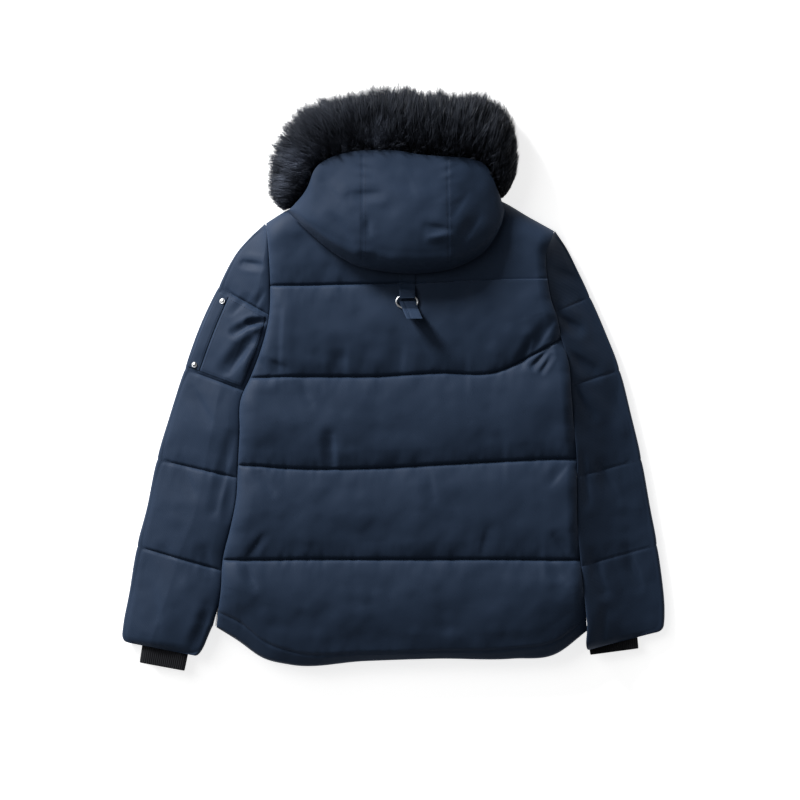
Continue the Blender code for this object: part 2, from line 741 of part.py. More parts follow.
def add_sleeve_patch(name, sleeve, columns, finish):
    """A flat piece sewn on a sleeve, made from the sleeve's own points moved out."""
    lines = [line for line in sleeve_lines() if POCKET_START < line < POCKET_END]
    lines = [POCKET_START] + lines + [POCKET_END]
    shares = SLEEVE_ACROSS[columns[0]:columns[1] + 1]
    top = []
    bottom = []
    for line in lines:
        upper = []
        lower = []
        for across in shares:
            x, y, z = sleeve_point(sleeve, line, across)
            upper.append((x, y, z + SURFACE_GAP + POCKET_LIFT))
            lower.append((x, y, z + SURFACE_GAP))
        top.append(upper)
        bottom.append(lower)
    points = [p for row in top + bottom for p in row]
    rows = len(lines)
    width = len(shares)
    upper_numbers = [[r * width + c for c in range(width)] for r in range(rows)]
    offset = rows * width
    faces = []
    for r in range(rows - 1):
        over = strip_faces(upper_numbers[r], upper_numbers[r + 1], closed=False)
        faces += over
        faces += [tuple(n + offset for n in reversed(face)) for face in over]
    loop = [upper_numbers[r][c] for r, c in border(rows, width)]
    faces += strip_faces(loop, [n + offset for n in loop])
    return add_solid(name, points, faces, finish)


def add_snap(snap, sleeve):
    """A domed press stud on the placket."""
    place = Vector(sleeve_point(sleeve, snap.line, snap.across))
    along = Vector(sleeve_point(sleeve, snap.line + 0.1, snap.across)) - place
    outward = Vector(sleeve_point(sleeve, snap.line, snap.across + 0.04)) - place
    normal = along.cross(outward).normalized()
    if normal.z < 0:
        normal.negate()
    centre = place + Vector((0.0, 0.0, SURFACE_GAP + POCKET_LIFT)) + normal * SNAP_GAP
    profile = ((1.0, 0.0), (1.0, 0.35), (0.82, 0.75), (0.45, 0.95))
    rings = []
    turn = normal.to_track_quat("Z", "Y")
    for radius, height in profile:
        ring = []
        for i in range(14):
            angle = 2 * math.pi * i / 14
            flat = Vector((math.cos(angle), math.sin(angle), 0)) * SNAP_RADIUS * radius
            flat.z = SNAP_HEIGHT * height
            ring.append(tuple(centre + turn @ flat))
        rings.append(ring)
    return add_stack(snap.name, rings, BRIGHT_METAL)


def add_cuff(cuff):
    """A knitted rib cuff: a flat tube with ribs raised on its outside."""
    turn = math.radians(cuff.turn)
    down = Vector((-math.sin(turn), -math.cos(turn)))
    across = Vector((math.cos(turn), -math.sin(turn)))
    ribs = int(cuff.width / RIB_PITCH)
    steps = 2 * ribs

    def ring(distance, half_width, half_height, raised):
        points = []
        for side in (1, -1):
            for i in range(steps):
                share = i / steps * 2 - 1
                if side < 0:
                    share = -share
                bulge = 1.0 - abs(share) ** 8
                height = side * half_height * max(bulge, 0.0)
                if raised and i % 2 == 0 and 0 < i:
                    height -= side * RIB_DEPTH
                place = Vector((cuff.x, cuff.y)) + down * distance
                place += across * half_width * share
                height += cuff.z + 0.5 * cuff.tilt * share
                points.append((place.x, place.y, height))
        return points

    half = 0.5 * cuff.width
    inner = half - CUFF_WALL
    hollow = CUFF_HALF_THICKNESS - CUFF_WALL
    rings = [
        ring(-CUFF_INSIDE, half, CUFF_HALF_THICKNESS, True),
        ring(CUFF_OUTSIDE - 2.0, half - 1.5, CUFF_HALF_THICKNESS, True),
        ring(CUFF_OUTSIDE, half - 2.0, CUFF_HALF_THICKNESS - 0.8, True),
        ring(CUFF_OUTSIDE - 0.8, inner - 2.0, hollow, False),
        ring(-CUFF_INSIDE + 4.0, inner, hollow, False),
    ]
    return add_stack(cuff.name, rings, RIB_BLACK)


# Hood, collar and fur

def hood_ends(line):
    """The crown fold, sewn edge, fur tips and fur height at a line number."""
    numbers = range(len(HOOD_LINES))
    values = [smooth(numbers, [row[i] for row in HOOD_LINES], line)
              for i in range(len(HoodLine._fields))]
    low = Vector(values[0:2])
    up = Vector(values[2:4])
    fur = Vector(values[4:6])
    return low, up, fur, values[6]


def hood_height(line, share):
    """Height of the hood's outer face at a line and a share from fold to edge."""
    low, up = hood_ends(line)[:2]
    length = (up - low).length
    place = low.lerp(up, share)
    full = 1.0 - math.exp(-length / HOOD_TIP_LENGTH)
    fold = round_over(share * length, min(HOOD_FOLD_RADIUS, 0.5 * length))
    fall = smooth(HOOD_DOME_SHARES, HOOD_DOME_RISES, share) - 1.0
    if share > HOOD_FULLEST_SHARE:
        fall *= length / HOOD_FULL_LENGTH
    aside = abs(place.x - HOOD_MIDDLE_X) / HOOD_HALF_WIDTH
    level = 1.0 - HOOD_SIDE_FALL * aside ** HOOD_SIDE_BEND
    level -= HOOD_RIGHT_FALL * max(place.x - HOOD_RIGHT_PANEL_X, 0.0)
    level *= (1.0 + fall) * mix(HOOD_FOLD_SHARE, 1.0, fold)
    rise = HOOD_RISE * level * full
    for seam in (HOOD_PANELS[0][2], HOOD_PANELS[1][2]):
        away = abs(line - seam) / HOOD_SEAM_WIDTH
        rise -= HOOD_PANEL_SEAM * math.exp(-away * away) * fold
    rise -= fold_depth("hood", place.x, place.y) * fold
    return HOOD_SEAT + max(rise, HOOD_LEAST_RISE)


def hood_place(line, share, inset):
    """A flat point of the hood, drawn in from the fold and a little from the edge."""
    low, up = hood_ends(line)[:2]
    length = (up - low).length
    near = min(inset / length, 0.3)
    far = min(HOOD_EDGE_INSET * inset / length, 0.06)
    return low.lerp(up, mix(near, 1.0 - far, share))


def add_hood_panel(name, start, end, columns):
    """One of the hood's three padded panels."""
    side = {"hood_left": -1, "hood_center": 0, "hood_right": 1}[name]
    lines = [mix(start, end, c / (columns - 1)) for c in range(columns)]
    half_gap = Vector((0.5 * SEAM_GAP, 0.0))
    shifts = {c: Vector((0.0, 0.0)) for c in range(columns)}
    if side >= 0:
        shifts[0] = half_gap
    if side <= 0:
        shifts[columns - 1] = -half_gap
    top = []
    for share in HOOD_ROWS:
        row = []
        for c, line in enumerate(lines):
            place = hood_place(line, share, 0.0) + shifts[c]
            row.append((place.x, place.y, hood_height(line, share)))
        top.append(row)
    rings = []
    for level in HOOD_RINGS:
        ring = []
        for r, c in border(len(HOOD_ROWS), columns):
            line = lines[c]
            draw = HOOD_TIP_INSET * level.inset / HOOD_RINGS[-1].inset
            if side < 0:
                line = end - (end - line) * (1.0 - draw)
            if side > 0:
                line = start + (line - start) * (1.0 - draw)
            place = hood_place(line, HOOD_ROWS[r], level.inset) + shifts[c]
            ring.append((place.x, place.y, HOOD_SEAT + level.rise))
        rings.append(ring)
    return add_panel(name, top, rings, NAVY_CLOTH)


def add_collar():
    """The stand collar, folded flat above the neck seam and under the hood."""
    shares = [i / COLLAR_POINTS for i in range(COLLAR_POINTS + 1)]
    last_line = len(BACK_LINES) - 2
    neck = [back_place(last_line, 1.0, mix(COLLAR_LEFT, COLLAR_RIGHT, share))
            for share in shares]
    rings = []
    for level in COLLAR_RINGS:
        left = neck[0][0] + level.inset
        right = neck[-1][0] - level.inset
        lower = []
        upper = []
        for share, (x, neck_y) in zip(shares, neck):
            bow = 1.0 - abs(2.0 * share - 1.0) ** 4
            low = neck_y + COLLAR_GAP
            high = mix(neck[0][1] + COLLAR_GAP + COLLAR_END_RISE, COLLAR_TOP_Y, bow)
            draw = min(level.inset, COLLAR_DRAW * (high - low))
            lower.append((mix(left, right, share), low + draw, level.z))
            upper.append((mix(left, right, share), high - draw, level.z))
        rings.append(lower + upper[::-1])
    return add_stack("collar", rings, NAVY_CLOTH)


def add_fur_ruff():
    """The roll of fur round the hood's face edge, as far as its tips reach."""
    count = (len(HOOD_LINES) - 1) * FUR_STEPS + 1
    rings = []
    for i in range(count):
        line = i / FUR_STEPS
        up, fur, height = hood_ends(line)[1:]
        outward = (fur - up).normalized()
        start = up + outward * FUR_GAP
        ring = []
        for point in FUR_SECTION:
            place = start.lerp(fur, point.out)
            ring.append((place.x, place.y, point.rise * height))
        rings.append(ring)
    return add_stack("fur_ruff", rings, FUR_BLACK)


# Hanger loop, pocket studs and vent zips

def surface_of(part):
    """A tree of a part's faces, for finding its height at a point."""
    shape = bmesh.new()
    shape.from_mesh(part.data)
    tree = BVHTree.FromBMesh(shape)
    shape.free()
    return tree


def height_on(tree, x, y):
    """Height of a part's outer face under a point, in millimetres."""
    hit = tree.ray_cast(Vector((x * MM, y * MM, 1.0)), Vector((0.0, 0.0, -1.0)))
    return hit[0].z / MM


def add_strap(name, tree, ring_top, start, end, shift, lift):
    """A strap laid on the back panel, raised over the ring and by lift at its end."""
    rows = 7
    columns = 5
    top = []
    bottom = []
    for r in range(rows):
        share = r / (rows - 1)
        y = mix(start, end, share)
        upper = []
        lower = []
        for c in range(columns):
            x = STRAP_X + shift * share + (c / (columns - 1) - 0.5) * STRAP_WIDTH
            z = max(height_on(tree, x + i * 3.0, y + j * 3.0)
                    for i in (-1, 0, 1) for j in (-1, 0, 1))
            away = abs(y - RING_Y) - RING_HALF_HEIGHT - RING_CLEAR_LENGTH
            away = max(away, 0.0) / RING_CLEAR_LENGTH
            z += SURFACE_GAP
            z = max(z, mix(z, ring_top + SEAM_GAP, math.exp(-away * away)))
            z += lift * max(share - TAB_FLAT_SHARE, 0.0) / (1.0 - TAB_FLAT_SHARE)
            lower.append((x, y, z))
            upper.append((x, y, z + STRAP_THICKNESS))
        top.append(upper)
        bottom.append(lower)
    points = [p for row in top + bottom for p in row]
    numbers = [[r * columns + c for c in range(columns)] for r in range(rows)]
    offset = rows * columns
    faces = []
    for r in range(rows - 1):
        over = strip_faces(numbers[r], numbers[r + 1], closed=False)
        faces += over
        faces += [tuple(n + offset for n in reversed(face)) for face in over]
    loop = [numbers[r][c] for r, c in border(rows, columns)]
    faces += strip_faces(loop, [n + offset for n in loop])
    return add_solid(name, points, faces, NAVY_CLOTH)


def add_hanger_ring(tree):
    """The ring that joins strap and tab, a bent wire on the panel; gives its top."""
    count = 24
    places = []
    for i in range(count):
        angle = 2 * math.pi * i / count
        x = RING_X + RING_HALF_WIDTH * math.cos(angle)
        y = RING_Y + RING_HALF_HEIGHT * math.sin(angle)
        places.append((x, y))
    height = max(height_on(tree, x, y) for x, y in places) + SURFACE_GAP + RING_WIRE
    curve = bpy.data.curves.new("hanger_ring", "CURVE")
    curve.dimensions = "3D"
    curve.bevel_depth = RING_WIRE * MM
    curve.bevel_resolution = 2
    spline = curve.splines.new("POLY")
    spline.points.add(count - 1)
    for point, (x, y) in zip(spline.points, places):
        point.co = (x * MM, y * MM, height * MM, 1.0)
    spline.use_cyclic_u = True
    curve.materials.append(make_material("hanger_ring", BRIGHT_METAL))
    part = bpy.data.objects.new("hanger_ring", curve)
    PARTS.objects.link(part)
    return height + RING_WIRE


def add_vent_zip(vent):
    """A closed vent zip along a side edge, with its slider at the upper end."""
    edge = LEFT_EDGE if vent.side < 0 else RIGHT_EDGE
    steps = 4
    rings = []
    for i in range(steps + 1):
        y = mix(vent.start, vent.end, i / steps)
        x = edge_x(edge, y) + vent.side * SEAM_GAP
        out = x + vent.side * VENT_WIDTH
        rings.append([(x, y, VENT_Z), (out, y, VENT_Z),
                      (out, y, VENT_Z + VENT_HEIGHT), (x, y, VENT_Z + VENT_HEIGHT)])
    add_stack(vent.name, rings, BRIGHT_METAL)
    start = vent.end + SEAM_GAP
    rings = []
    for i in range(3):
        y = start + SLIDER_LENGTH * i / 2
        x = edge_x(edge, y) + vent.side * SEAM_GAP
        out = x + vent.side * (VENT_WIDTH - 0.4)
        rings.append([(x, y, VENT_Z - 1.0), (out, y, VENT_Z - 1.0),
                      (out, y, VENT_Z + VENT_HEIGHT + 1.0),
                      (x, y, VENT_Z + VENT_HEIGHT + 1.0)])
    add_stack(vent.name.replace("zip", "zip_slider"), rings, BRIGHT_METAL)


clear_scene()
PARTS = bpy.data.collections.new(OBJECT_NAME)
bpy.context.scene.collection.children.link(PARTS)
SLEEVES = {
    "sleeve_left": (SLEEVE_LEFT, LEFT_EDGE, -1),
    "sleeve_right": (SLEEVE_RIGHT, RIGHT_EDGE, 1),
}

back_panel = add_back_panel()
add_front("front_left", -1)
add_front("front_right", 1)
add_front_zip()
for sleeve_name in SLEEVES:
    add_sleeve(sleeve_name)
add_sleeve_patch("pocket_placket", "sleeve_left", PLACKET_COLUMNS, NAVY_CLOTH)
add_sleeve_patch("sleeve_pocket", "sleeve_left", POCKET_COLUMNS, NAVY_CLOTH)
for snap in SNAPS:
    add_snap(snap, "sleeve_left")
for cuff in CUFFS:
    add_cuff(cuff)
for panel in HOOD_PANELS:
    add_hood_panel(*panel)
add_collar()
add_fur_ruff()
back_surface = surface_of(back_panel)
ring_height = add_hanger_ring(back_surface)
add_strap("hanger_strap", back_surface, ring_height, STRAP_TOP_Y, STRAP_END_Y, 0.0, 0.0)
add_strap("hanger_tab", back_surface, ring_height, TAB_TOP_Y, TAB_END_Y, TAB_SHIFT,
          TAB_LIFT)
for vent in VENT_ZIPS:
    add_vent_zip(vent)
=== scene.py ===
"""Looks of a fur trimmed parka, laid face down and flat with its hood folded back.

The shell's padded panels, the rib cuffs, the straps, the pocket, the metal trim and the
fur are made here in their fine form, each over the solid that model.glb holds for it.
Sizes are in millimetres and turn into metres where a mesh is made. X runs from the
coat's left sleeve to its right, Y from hem to hood, and Z is up from the table.
"""

import math
from collections import namedtuple

import bpy
import numpy as np
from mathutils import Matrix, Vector
from mathutils.bvhtree import BVHTree


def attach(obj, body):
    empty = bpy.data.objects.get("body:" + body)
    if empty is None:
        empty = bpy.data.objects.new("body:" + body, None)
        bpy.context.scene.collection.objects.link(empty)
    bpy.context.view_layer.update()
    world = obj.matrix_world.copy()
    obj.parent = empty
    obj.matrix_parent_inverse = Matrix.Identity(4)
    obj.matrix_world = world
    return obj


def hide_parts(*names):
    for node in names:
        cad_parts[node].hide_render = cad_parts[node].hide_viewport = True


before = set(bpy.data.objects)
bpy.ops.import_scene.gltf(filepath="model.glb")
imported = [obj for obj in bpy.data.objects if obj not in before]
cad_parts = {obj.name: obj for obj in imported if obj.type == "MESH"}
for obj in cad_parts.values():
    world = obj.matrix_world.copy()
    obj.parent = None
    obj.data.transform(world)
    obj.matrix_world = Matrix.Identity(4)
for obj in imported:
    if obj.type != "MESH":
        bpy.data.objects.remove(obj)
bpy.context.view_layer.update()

# ------------------------------------------------------------------------- Studio table
# The coat lies on a broad white table that is lit softly from within. A soft lamp stands
# low at its upper left, with a wider, weaker one above it, and the camera looks straight
# down.

MM = 0.001
TABLE_SIZE = 9.0
TABLE_WHITE = (0.86, 0.86, 0.86, 1.0)
TABLE_SHADE = (0.80, 0.80, 0.80, 1.0)
TABLE_DROP = 0.0004
CAMERA_HEIGHT = 6.0
COAT_MIDDLE_HEIGHT = 0.04
FRAME_WIDTH = 1.320
FRAME_CENTRE = (0.0132, -0.0363)
SENSOR = 36.0
KEY_PLACE = (-2.80, 3.50, 1.75)
KEY_SIZE = 1.1
KEY_POWER = 515.0
KEY_AIM = (0.10, -0.05, 0.0)
FILL_PLACE = (-2.60, 1.60, 3.20)
FILL_SIZE = 2.4
FILL_POWER = 55.0
FILL_AIM = (0.0, 0.0, 0.0)
ROOM_LIGHT = 0.14
TABLE_GLOW = 0.88


class Shade:
    """A value in a material's nodes, which takes part in sums like a number."""

    def __init__(self, tree, socket=None):
        self.tree = tree
        self.socket = socket

    def node(self, kind, settings=None, inputs=None, output=0):
        """A node of a kind, with its settings made first, then its sockets."""
        made = self.tree.nodes.new(kind)
        for name, value in (settings or {}).items():
            setattr(made, name, value)
        for name, value in (inputs or {}).items():
            if isinstance(value, Shade):
                self.tree.links.new(value.socket, made.inputs[name])
            else:
                made.inputs[name].default_value = value
        return Shade(self.tree, made.outputs[output])

    def math(self, operation, first, second):
        """One Math node on two values."""
        return self.node("ShaderNodeMath", {"operation": operation}, {0: first, 1: second})

    def __add__(self, other):
        return self.math("ADD", self, other)

    def __radd__(self, other):
        return self.math("ADD", other, self)

    def __sub__(self, other):
        return self.math("SUBTRACT", self, other)

    def __rsub__(self, other):
        return self.math("SUBTRACT", other, self)

    def __mul__(self, other):
        return self.math("MULTIPLY", self, other)

    def __rmul__(self, other):
        return self.math("MULTIPLY", other, self)

    def clipped(self):
        """The value held between 0 and 1."""
        return self.node("ShaderNodeClamp", None, {"Value": self})

    def mixed(self, low, high):
        """A colour between two, by this value."""
        return self.node("ShaderNodeMix", {"data_type": "RGBA"},
                         {"Factor": self, 6: low, 7: high}, 2)

    def noise(self, scale, detail=2.0, roughness=0.5):
        """Cloudy noise over this vector."""
        return self.node("ShaderNodeTexNoise", None, {
            "Vector": self, "Scale": scale, "Detail": detail, "Roughness": roughness})

    def attribute(self, name):
        """A value that the mesh carries at each point."""
        return self.node("ShaderNodeAttribute", {"attribute_name": name}, None, 2)


def start_material(name, **values):
    """A Principled material with even values set on its sockets; gives its nodes too."""
    material = bpy.data.materials.new(name)
    material.use_nodes = True
    shader = material.node_tree.nodes["Principled BSDF"]
    for socket, value in values.items():
        shader.inputs[socket.replace("_", " ")].default_value = value
    return material, Shade(material.node_tree), shader


def join_shader(shader, colour, roughness=None, normal=None):
    """Link what changes over the surface to the shader."""
    links = {"Base Color": colour, "Roughness": roughness, "Normal": normal}
    for socket, value in links.items():
        if value is not None:
            value.tree.links.new(value.socket, shader.inputs[socket])


def bumped(height, strength, distance):
    """A surface normal from a height in metres times distance."""
    return height.node("ShaderNodeBump", None, {
        "Height": height, "Strength": strength, "Distance": distance})


def place_of(shade):
    """The point on the object, in metres."""
    return shade.node("ShaderNodeTexCoord", None, None, 3)


table_paint, shade, shader = start_material(
    "table_white", Roughness=0.85, Emission_Color=TABLE_WHITE, Emission_Strength=TABLE_GLOW)
grain = place_of(shade).noise(3.0)
join_shader(shader, grain.mixed(TABLE_SHADE, TABLE_WHITE))

bpy.ops.mesh.primitive_plane_add(size=TABLE_SIZE, location=(0.0, 0.0, -TABLE_DROP))
table = bpy.context.object
table.name = "studio_table"
table.data.materials.append(table_paint)


def add_lamp(name, place, size, power, aim):
    """A square soft lamp aimed at a point."""
    light = bpy.data.lights.new(name, "AREA")
    light.shape = "SQUARE"
    light.size = size
    light.energy = power
    lamp = bpy.data.objects.new(name, light)
    lamp.location = place
    lamp.rotation_euler = (Vector(aim) - Vector(place)).to_track_quat("-Z", "Y").to_euler()
    bpy.context.scene.collection.objects.link(lamp)


add_lamp("key_lamp", KEY_PLACE, KEY_SIZE, KEY_POWER, KEY_AIM)
add_lamp("fill_lamp", FILL_PLACE, FILL_SIZE, FILL_POWER, FILL_AIM)

world = bpy.data.worlds.new("studio_room")
world.use_nodes = True
world.node_tree.nodes["Background"].inputs["Color"].default_value = (1.0, 1.0, 1.0, 1.0)
world.node_tree.nodes["Background"].inputs["Strength"].default_value = ROOM_LIGHT
bpy.context.scene.world = world
bpy.context.scene.view_settings.view_transform = "Standard"

camera_data = bpy.data.cameras.new("overhead_camera")
camera_data.sensor_width = SENSOR
camera_data.lens = SENSOR * (CAMERA_HEIGHT - COAT_MIDDLE_HEIGHT) / FRAME_WIDTH
camera = bpy.data.objects.new("overhead_camera", camera_data)
camera.location = (FRAME_CENTRE[0], FRAME_CENTRE[1], CAMERA_HEIGHT)
bpy.context.scene.collection.objects.link(camera)
bpy.context.scene.camera = camera

# ------------------------------------------------------------------------ Front panels
# The two fronts lie on the table, face down: down between two layers of navy cotton
# twill, quilted across in the same channels as the back, and joined to it at the sides.

FRONT_TOP = 28.0
TABLE_CLEARANCE = 0.4
TOP_CLEARANCE = 0.2
CENTRE_FRONT = 25.0
CENTRE_FRONT_SHARE = 0.507
CLOSING_GAP = 0.2
FRONT_ACROSS_POINTS = 130
FRONT_SIDE_POINTS = 300
FRONT_LEVELS = 11
# The free edges: drawn in at each seam, rolled in at the table, full at mid height
FRONT_INSET = 1.6
FRONT_SEAM_PINCH = 3.5
FRONT_PINCH_DRAW = 0.3
PINCH_REACH = 16.0
FRONT_ROLL = 15.0
FRONT_ROLL_SHARE = 0.55
FRONT_BULGE = 6.0
BULGE_WIDTH = 0.22
BULGE_HEM_FADE = 0.05
BULGE_NECK_FADE = 0.012
FRONT_WAVE = 0.4
FRONT_WAVES_UP = 40.0
FRONT_WAVES_ACROSS = 30.0
FRONT_WAVES_DEEP = 2.0
RIPPLE_VALUES = 97
CHANNEL_FULLNESS = 0.6
# The twill
NAVY_DEEP = (0.0100, 0.0190, 0.0380, 1.0)
NAVY_WORN = (0.0165, 0.0292, 0.0560, 1.0)
SHEEN_TINT = (0.45, 0.58, 0.85, 1.0)
TWILL_LINES_PER_METRE = 820.0
RADIANS_PER_LINE = 6.283

# Places across the body, and the y of each seam or edge at those places
STATIONS = (0.0, 0.06, 0.12, 0.2, 0.4, 0.6, 0.8, 0.92, 1.0)
BodyLine = namedtuple("BodyLine", "name rise y")
BODY_LINES = (
    BodyLine("hem", 22, (-412, -435, -461, -474, -468, -464, -464, -455, -418)),
    BodyLine("hem_stitch", 37, (-386, -403, -432, -451, -453, -450, -446, -433, -398)),
    BodyLine("quilt_4", 39, (-300, -300, -300, -299, -299, -299, -299, -300, -300)),
    BodyLine("quilt_3", 39, (-144, -145, -148, -150, -149, -143, -137, -134, -134)),
    BodyLine("quilt_2", 38, (0, 1, 2, 2, 2, 8, 11, 41, 64)),
    BodyLine("yoke_seam", 30, (152, 152, 152, 153, 155, 158, 162, 163, 163)),
    BodyLine("neck_edge", 0, (256, 274, 286, 290, 284, 287, 295, 264, 243)),
)

# The sides of the body: x of each edge at a height y
EdgePoint = namedtuple("EdgePoint", "y x")
LEFT_EDGE = tuple(EdgePoint(*row) for row in (
    (-412, -290), (-386, -287), (-350, -282), (-300, -279), (-246, -266),
    (-201, -257), (-144, -254), (-92, -251), (-31, -248), (0, -234), (53, -214),
    (99, -203), (152, -201), (201, -203), (256, -208),
))
RIGHT_EDGE = tuple(EdgePoint(*row) for row in (
    (-418, 322), (-386, 319), (-350, 315), (-300, 310), (-243, 305), (-185, 304),
    (-135, 304), (-78, 299), (-28, 295), (30, 290), (64, 279), (99, 272),
    (129, 262), (163, 256), (203, 254), (243, 268),
))


def curve(knots, values, at):
    """Values at many places on a curve without kinks through values at knots."""
    knots = np.asarray(knots, float)
    values = np.asarray(values, float)
    slopes = np.gradient(values, knots)
    at = np.clip(at, knots[0], knots[-1])
    i = np.clip(np.searchsorted(knots, at, side="right") - 1, 0, len(knots) - 2)
    span = knots[i + 1] - knots[i]
    t = (at - knots[i]) / span
    rise = values[i + 1] - values[i]
    near = slopes[i] * span
    far = slopes[i + 1] * span
    return (values[i] + near * t + (3 * rise - 2 * near - far) * t**2
            + (near + far - 2 * rise) * t**3)


def mix(a, b, share):
    """The value that lies a share of the way from a to b."""
    return a + (b - a) * share


def round_over(distance, radius):
    """0 at an edge, rising on a quarter circle to 1 at radius from it."""
    share = np.clip(distance / radius, 0.0, 1.0)
    return np.sqrt(1.0 - (1.0 - share) ** 2)


def smooth_step(share):
    """0 up to 1 with soft ends."""
    share = np.clip(share, 0.0, 1.0)
    return share * share * (3.0 - 2.0 * share)


def puff(share):
    """Height of a down channel between its two seams, from 0 to 1."""
    return np.sin(np.pi * np.clip(share, 0.0, 1.0)) ** CHANNEL_FULLNESS


def soft_fade(share):
    """0 up to 1 with ends soft enough for light to show no kink."""
    return share * share * share * (share * (share * 6 - 15) + 10)


def ripples(across, along, seed):
    """An uneven smooth field from -1 to 1, with swells about one unit apart."""
    count = RIPPLE_VALUES
    table = np.random.default_rng(seed).uniform(-1.0, 1.0, (count, count))
    i = np.floor(across).astype(int)
    j = np.floor(along).astype(int)
    s = soft_fade(across - i)
    t = soft_fade(along - j)
    i = i % count
    j = j % count
    near = mix(table[i, j], table[(i + 1) % count, j], s)
    far = mix(table[i, (j + 1) % count], table[(i + 1) % count, (j + 1) % count], s)
    return mix(near, far, t)


def border(rows, columns):
    """The places round the border of a grid, in order, as rows and columns."""
    r = np.concatenate([np.zeros(columns), np.arange(1, rows),
                        np.full(columns - 1, rows - 1), np.arange(rows - 2, 0, -1)])
    c = np.concatenate([np.arange(columns), np.full(rows - 1, columns - 1),
                        np.arange(columns - 2, -1, -1), np.zeros(rows - 2)])
    return r.astype(int), c.astype(int)


def grid_faces(rows, columns, first=0):
    """Four-sided faces of a grid of points numbered row by row."""
    r, c = np.meshgrid(np.arange(rows - 1), np.arange(columns - 1), indexing="ij")
    corner = (first + r * columns + c).ravel()
    return np.stack([corner, corner + 1, corner + columns + 1, corner + columns], 1)


def ring_faces(lower, upper):
    """Four-sided faces between two closed rows of point numbers."""
    return np.stack([lower, np.roll(lower, -1), np.roll(upper, -1), upper], 1)


def make_piece(name, points, faces, paint, slot, sharp=60.0, **values):
    """A mesh from points in millimetres, on the coat's one body."""
    mesh = bpy.data.meshes.new(name)
    mesh.from_pydata((np.asarray(points) * MM).tolist(), [], faces)
    mesh.update()
    mesh.shade_smooth()
    mesh.set_sharp_from_angle(angle=math.radians(sharp))
    for key, amounts in values.items():
        layer = mesh.attributes.new(key, "FLOAT", "POINT")
        layer.data.foreach_set("value", np.asarray(amounts, np.float32))
    mesh.materials.append(paint)
    piece = bpy.data.objects.new(name, mesh)
    bpy.context.scene.collection.objects.link(piece)
    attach(piece, "root")
    return piece


def stacked_rings(rings):
    """Points and faces of rings joined one on another, closed at both ends."""
    count = len(rings[0])
    points = np.concatenate(rings)
    faces = []
    for i in range(len(rings) - 1):
        lower = np.arange(count) + i * count
        faces += ring_faces(lower, lower + count).tolist()
    faces.append(list(range(count))[::-1])
    faces.append(list(range((len(rings) - 1) * count, len(rings) * count)))
    return points, faces


def navy_twill(name, wear_and_highlight_share=0.35):
    """Brushed navy cotton twill, paler at worn seams and edges; painted highlight on the
    back's lit left edge.
    """
    paint, shade, shader = start_material(
        name, Sheen_Weight=0.09, Sheen_Roughness=0.45, Sheen_Tint=SHEEN_TINT,
        Specular_IOR_Level=0.11)
    place = place_of(shade)
    lines = place.node("ShaderNodeTexWave", {
        "wave_type": "BANDS", "bands_direction": "DIAGONAL", "wave_profile": "SIN"}, {
        "Vector": place, "Scale": TWILL_LINES_PER_METRE / RADIANS_PER_LINE,
        "Distortion": 0.6, "Detail": 1.0, "Detail Scale": 2.0}, 1)
    fluff = place.noise(900.0, 3.0)
    cloud = place.noise(14.0, 3.0)
    rubbed = shade.attribute("rubbed")
    # Paler where seams and edges wear, and a painted highlight where the back's left edge
    # catches the light
    pale = cloud * 0.55 + fluff * 0.25 + lines * 0.12 + rubbed * wear_and_highlight_share - 0.1
    colour = pale.clipped().mixed(NAVY_DEEP, NAVY_WORN)
    roughness = cloud * 0.14 + fluff * 0.10 + 0.50
    height = lines * 0.6 + fluff * 0.8
    join_shader(shader, colour, roughness, bumped(height, 0.35, 0.00022))
    return paint


def body_share_rows(inset, u, share):
    """A flat point of the body, drawn in, at a share from hem to neck edge."""
    drawn = []
    for across in (u, 0.0, 1.0):
        low = curve(STATIONS, BODY_LINES[0].y, across) + inset
        high = curve(STATIONS, BODY_LINES[-1].y, across) - inset
        drawn.append(mix(low, high, share))
    y, left_y, right_y = drawn
    left = curve(*zip(*LEFT_EDGE), left_y) + inset
    right = curve(*zip(*RIGHT_EDGE), right_y) - inset
    return mix(left, right, u), y


def seam_nearness(u, share):
    """How near a place on the body's side is to a quilting seam, from 0 to 1."""
    hem = curve(STATIONS, BODY_LINES[0].y, u)
    neck = curve(STATIONS, BODY_LINES[-1].y, u)
    nearness = np.zeros_like(share)
    for line in BODY_LINES[1:-1]:
        at = (curve(STATIONS, line.y, u) - hem) / (neck - hem)
        away = np.abs(share - at) * (neck - hem)
        nearness = np.maximum(nearness, np.exp(-away / PINCH_REACH))
    return nearness


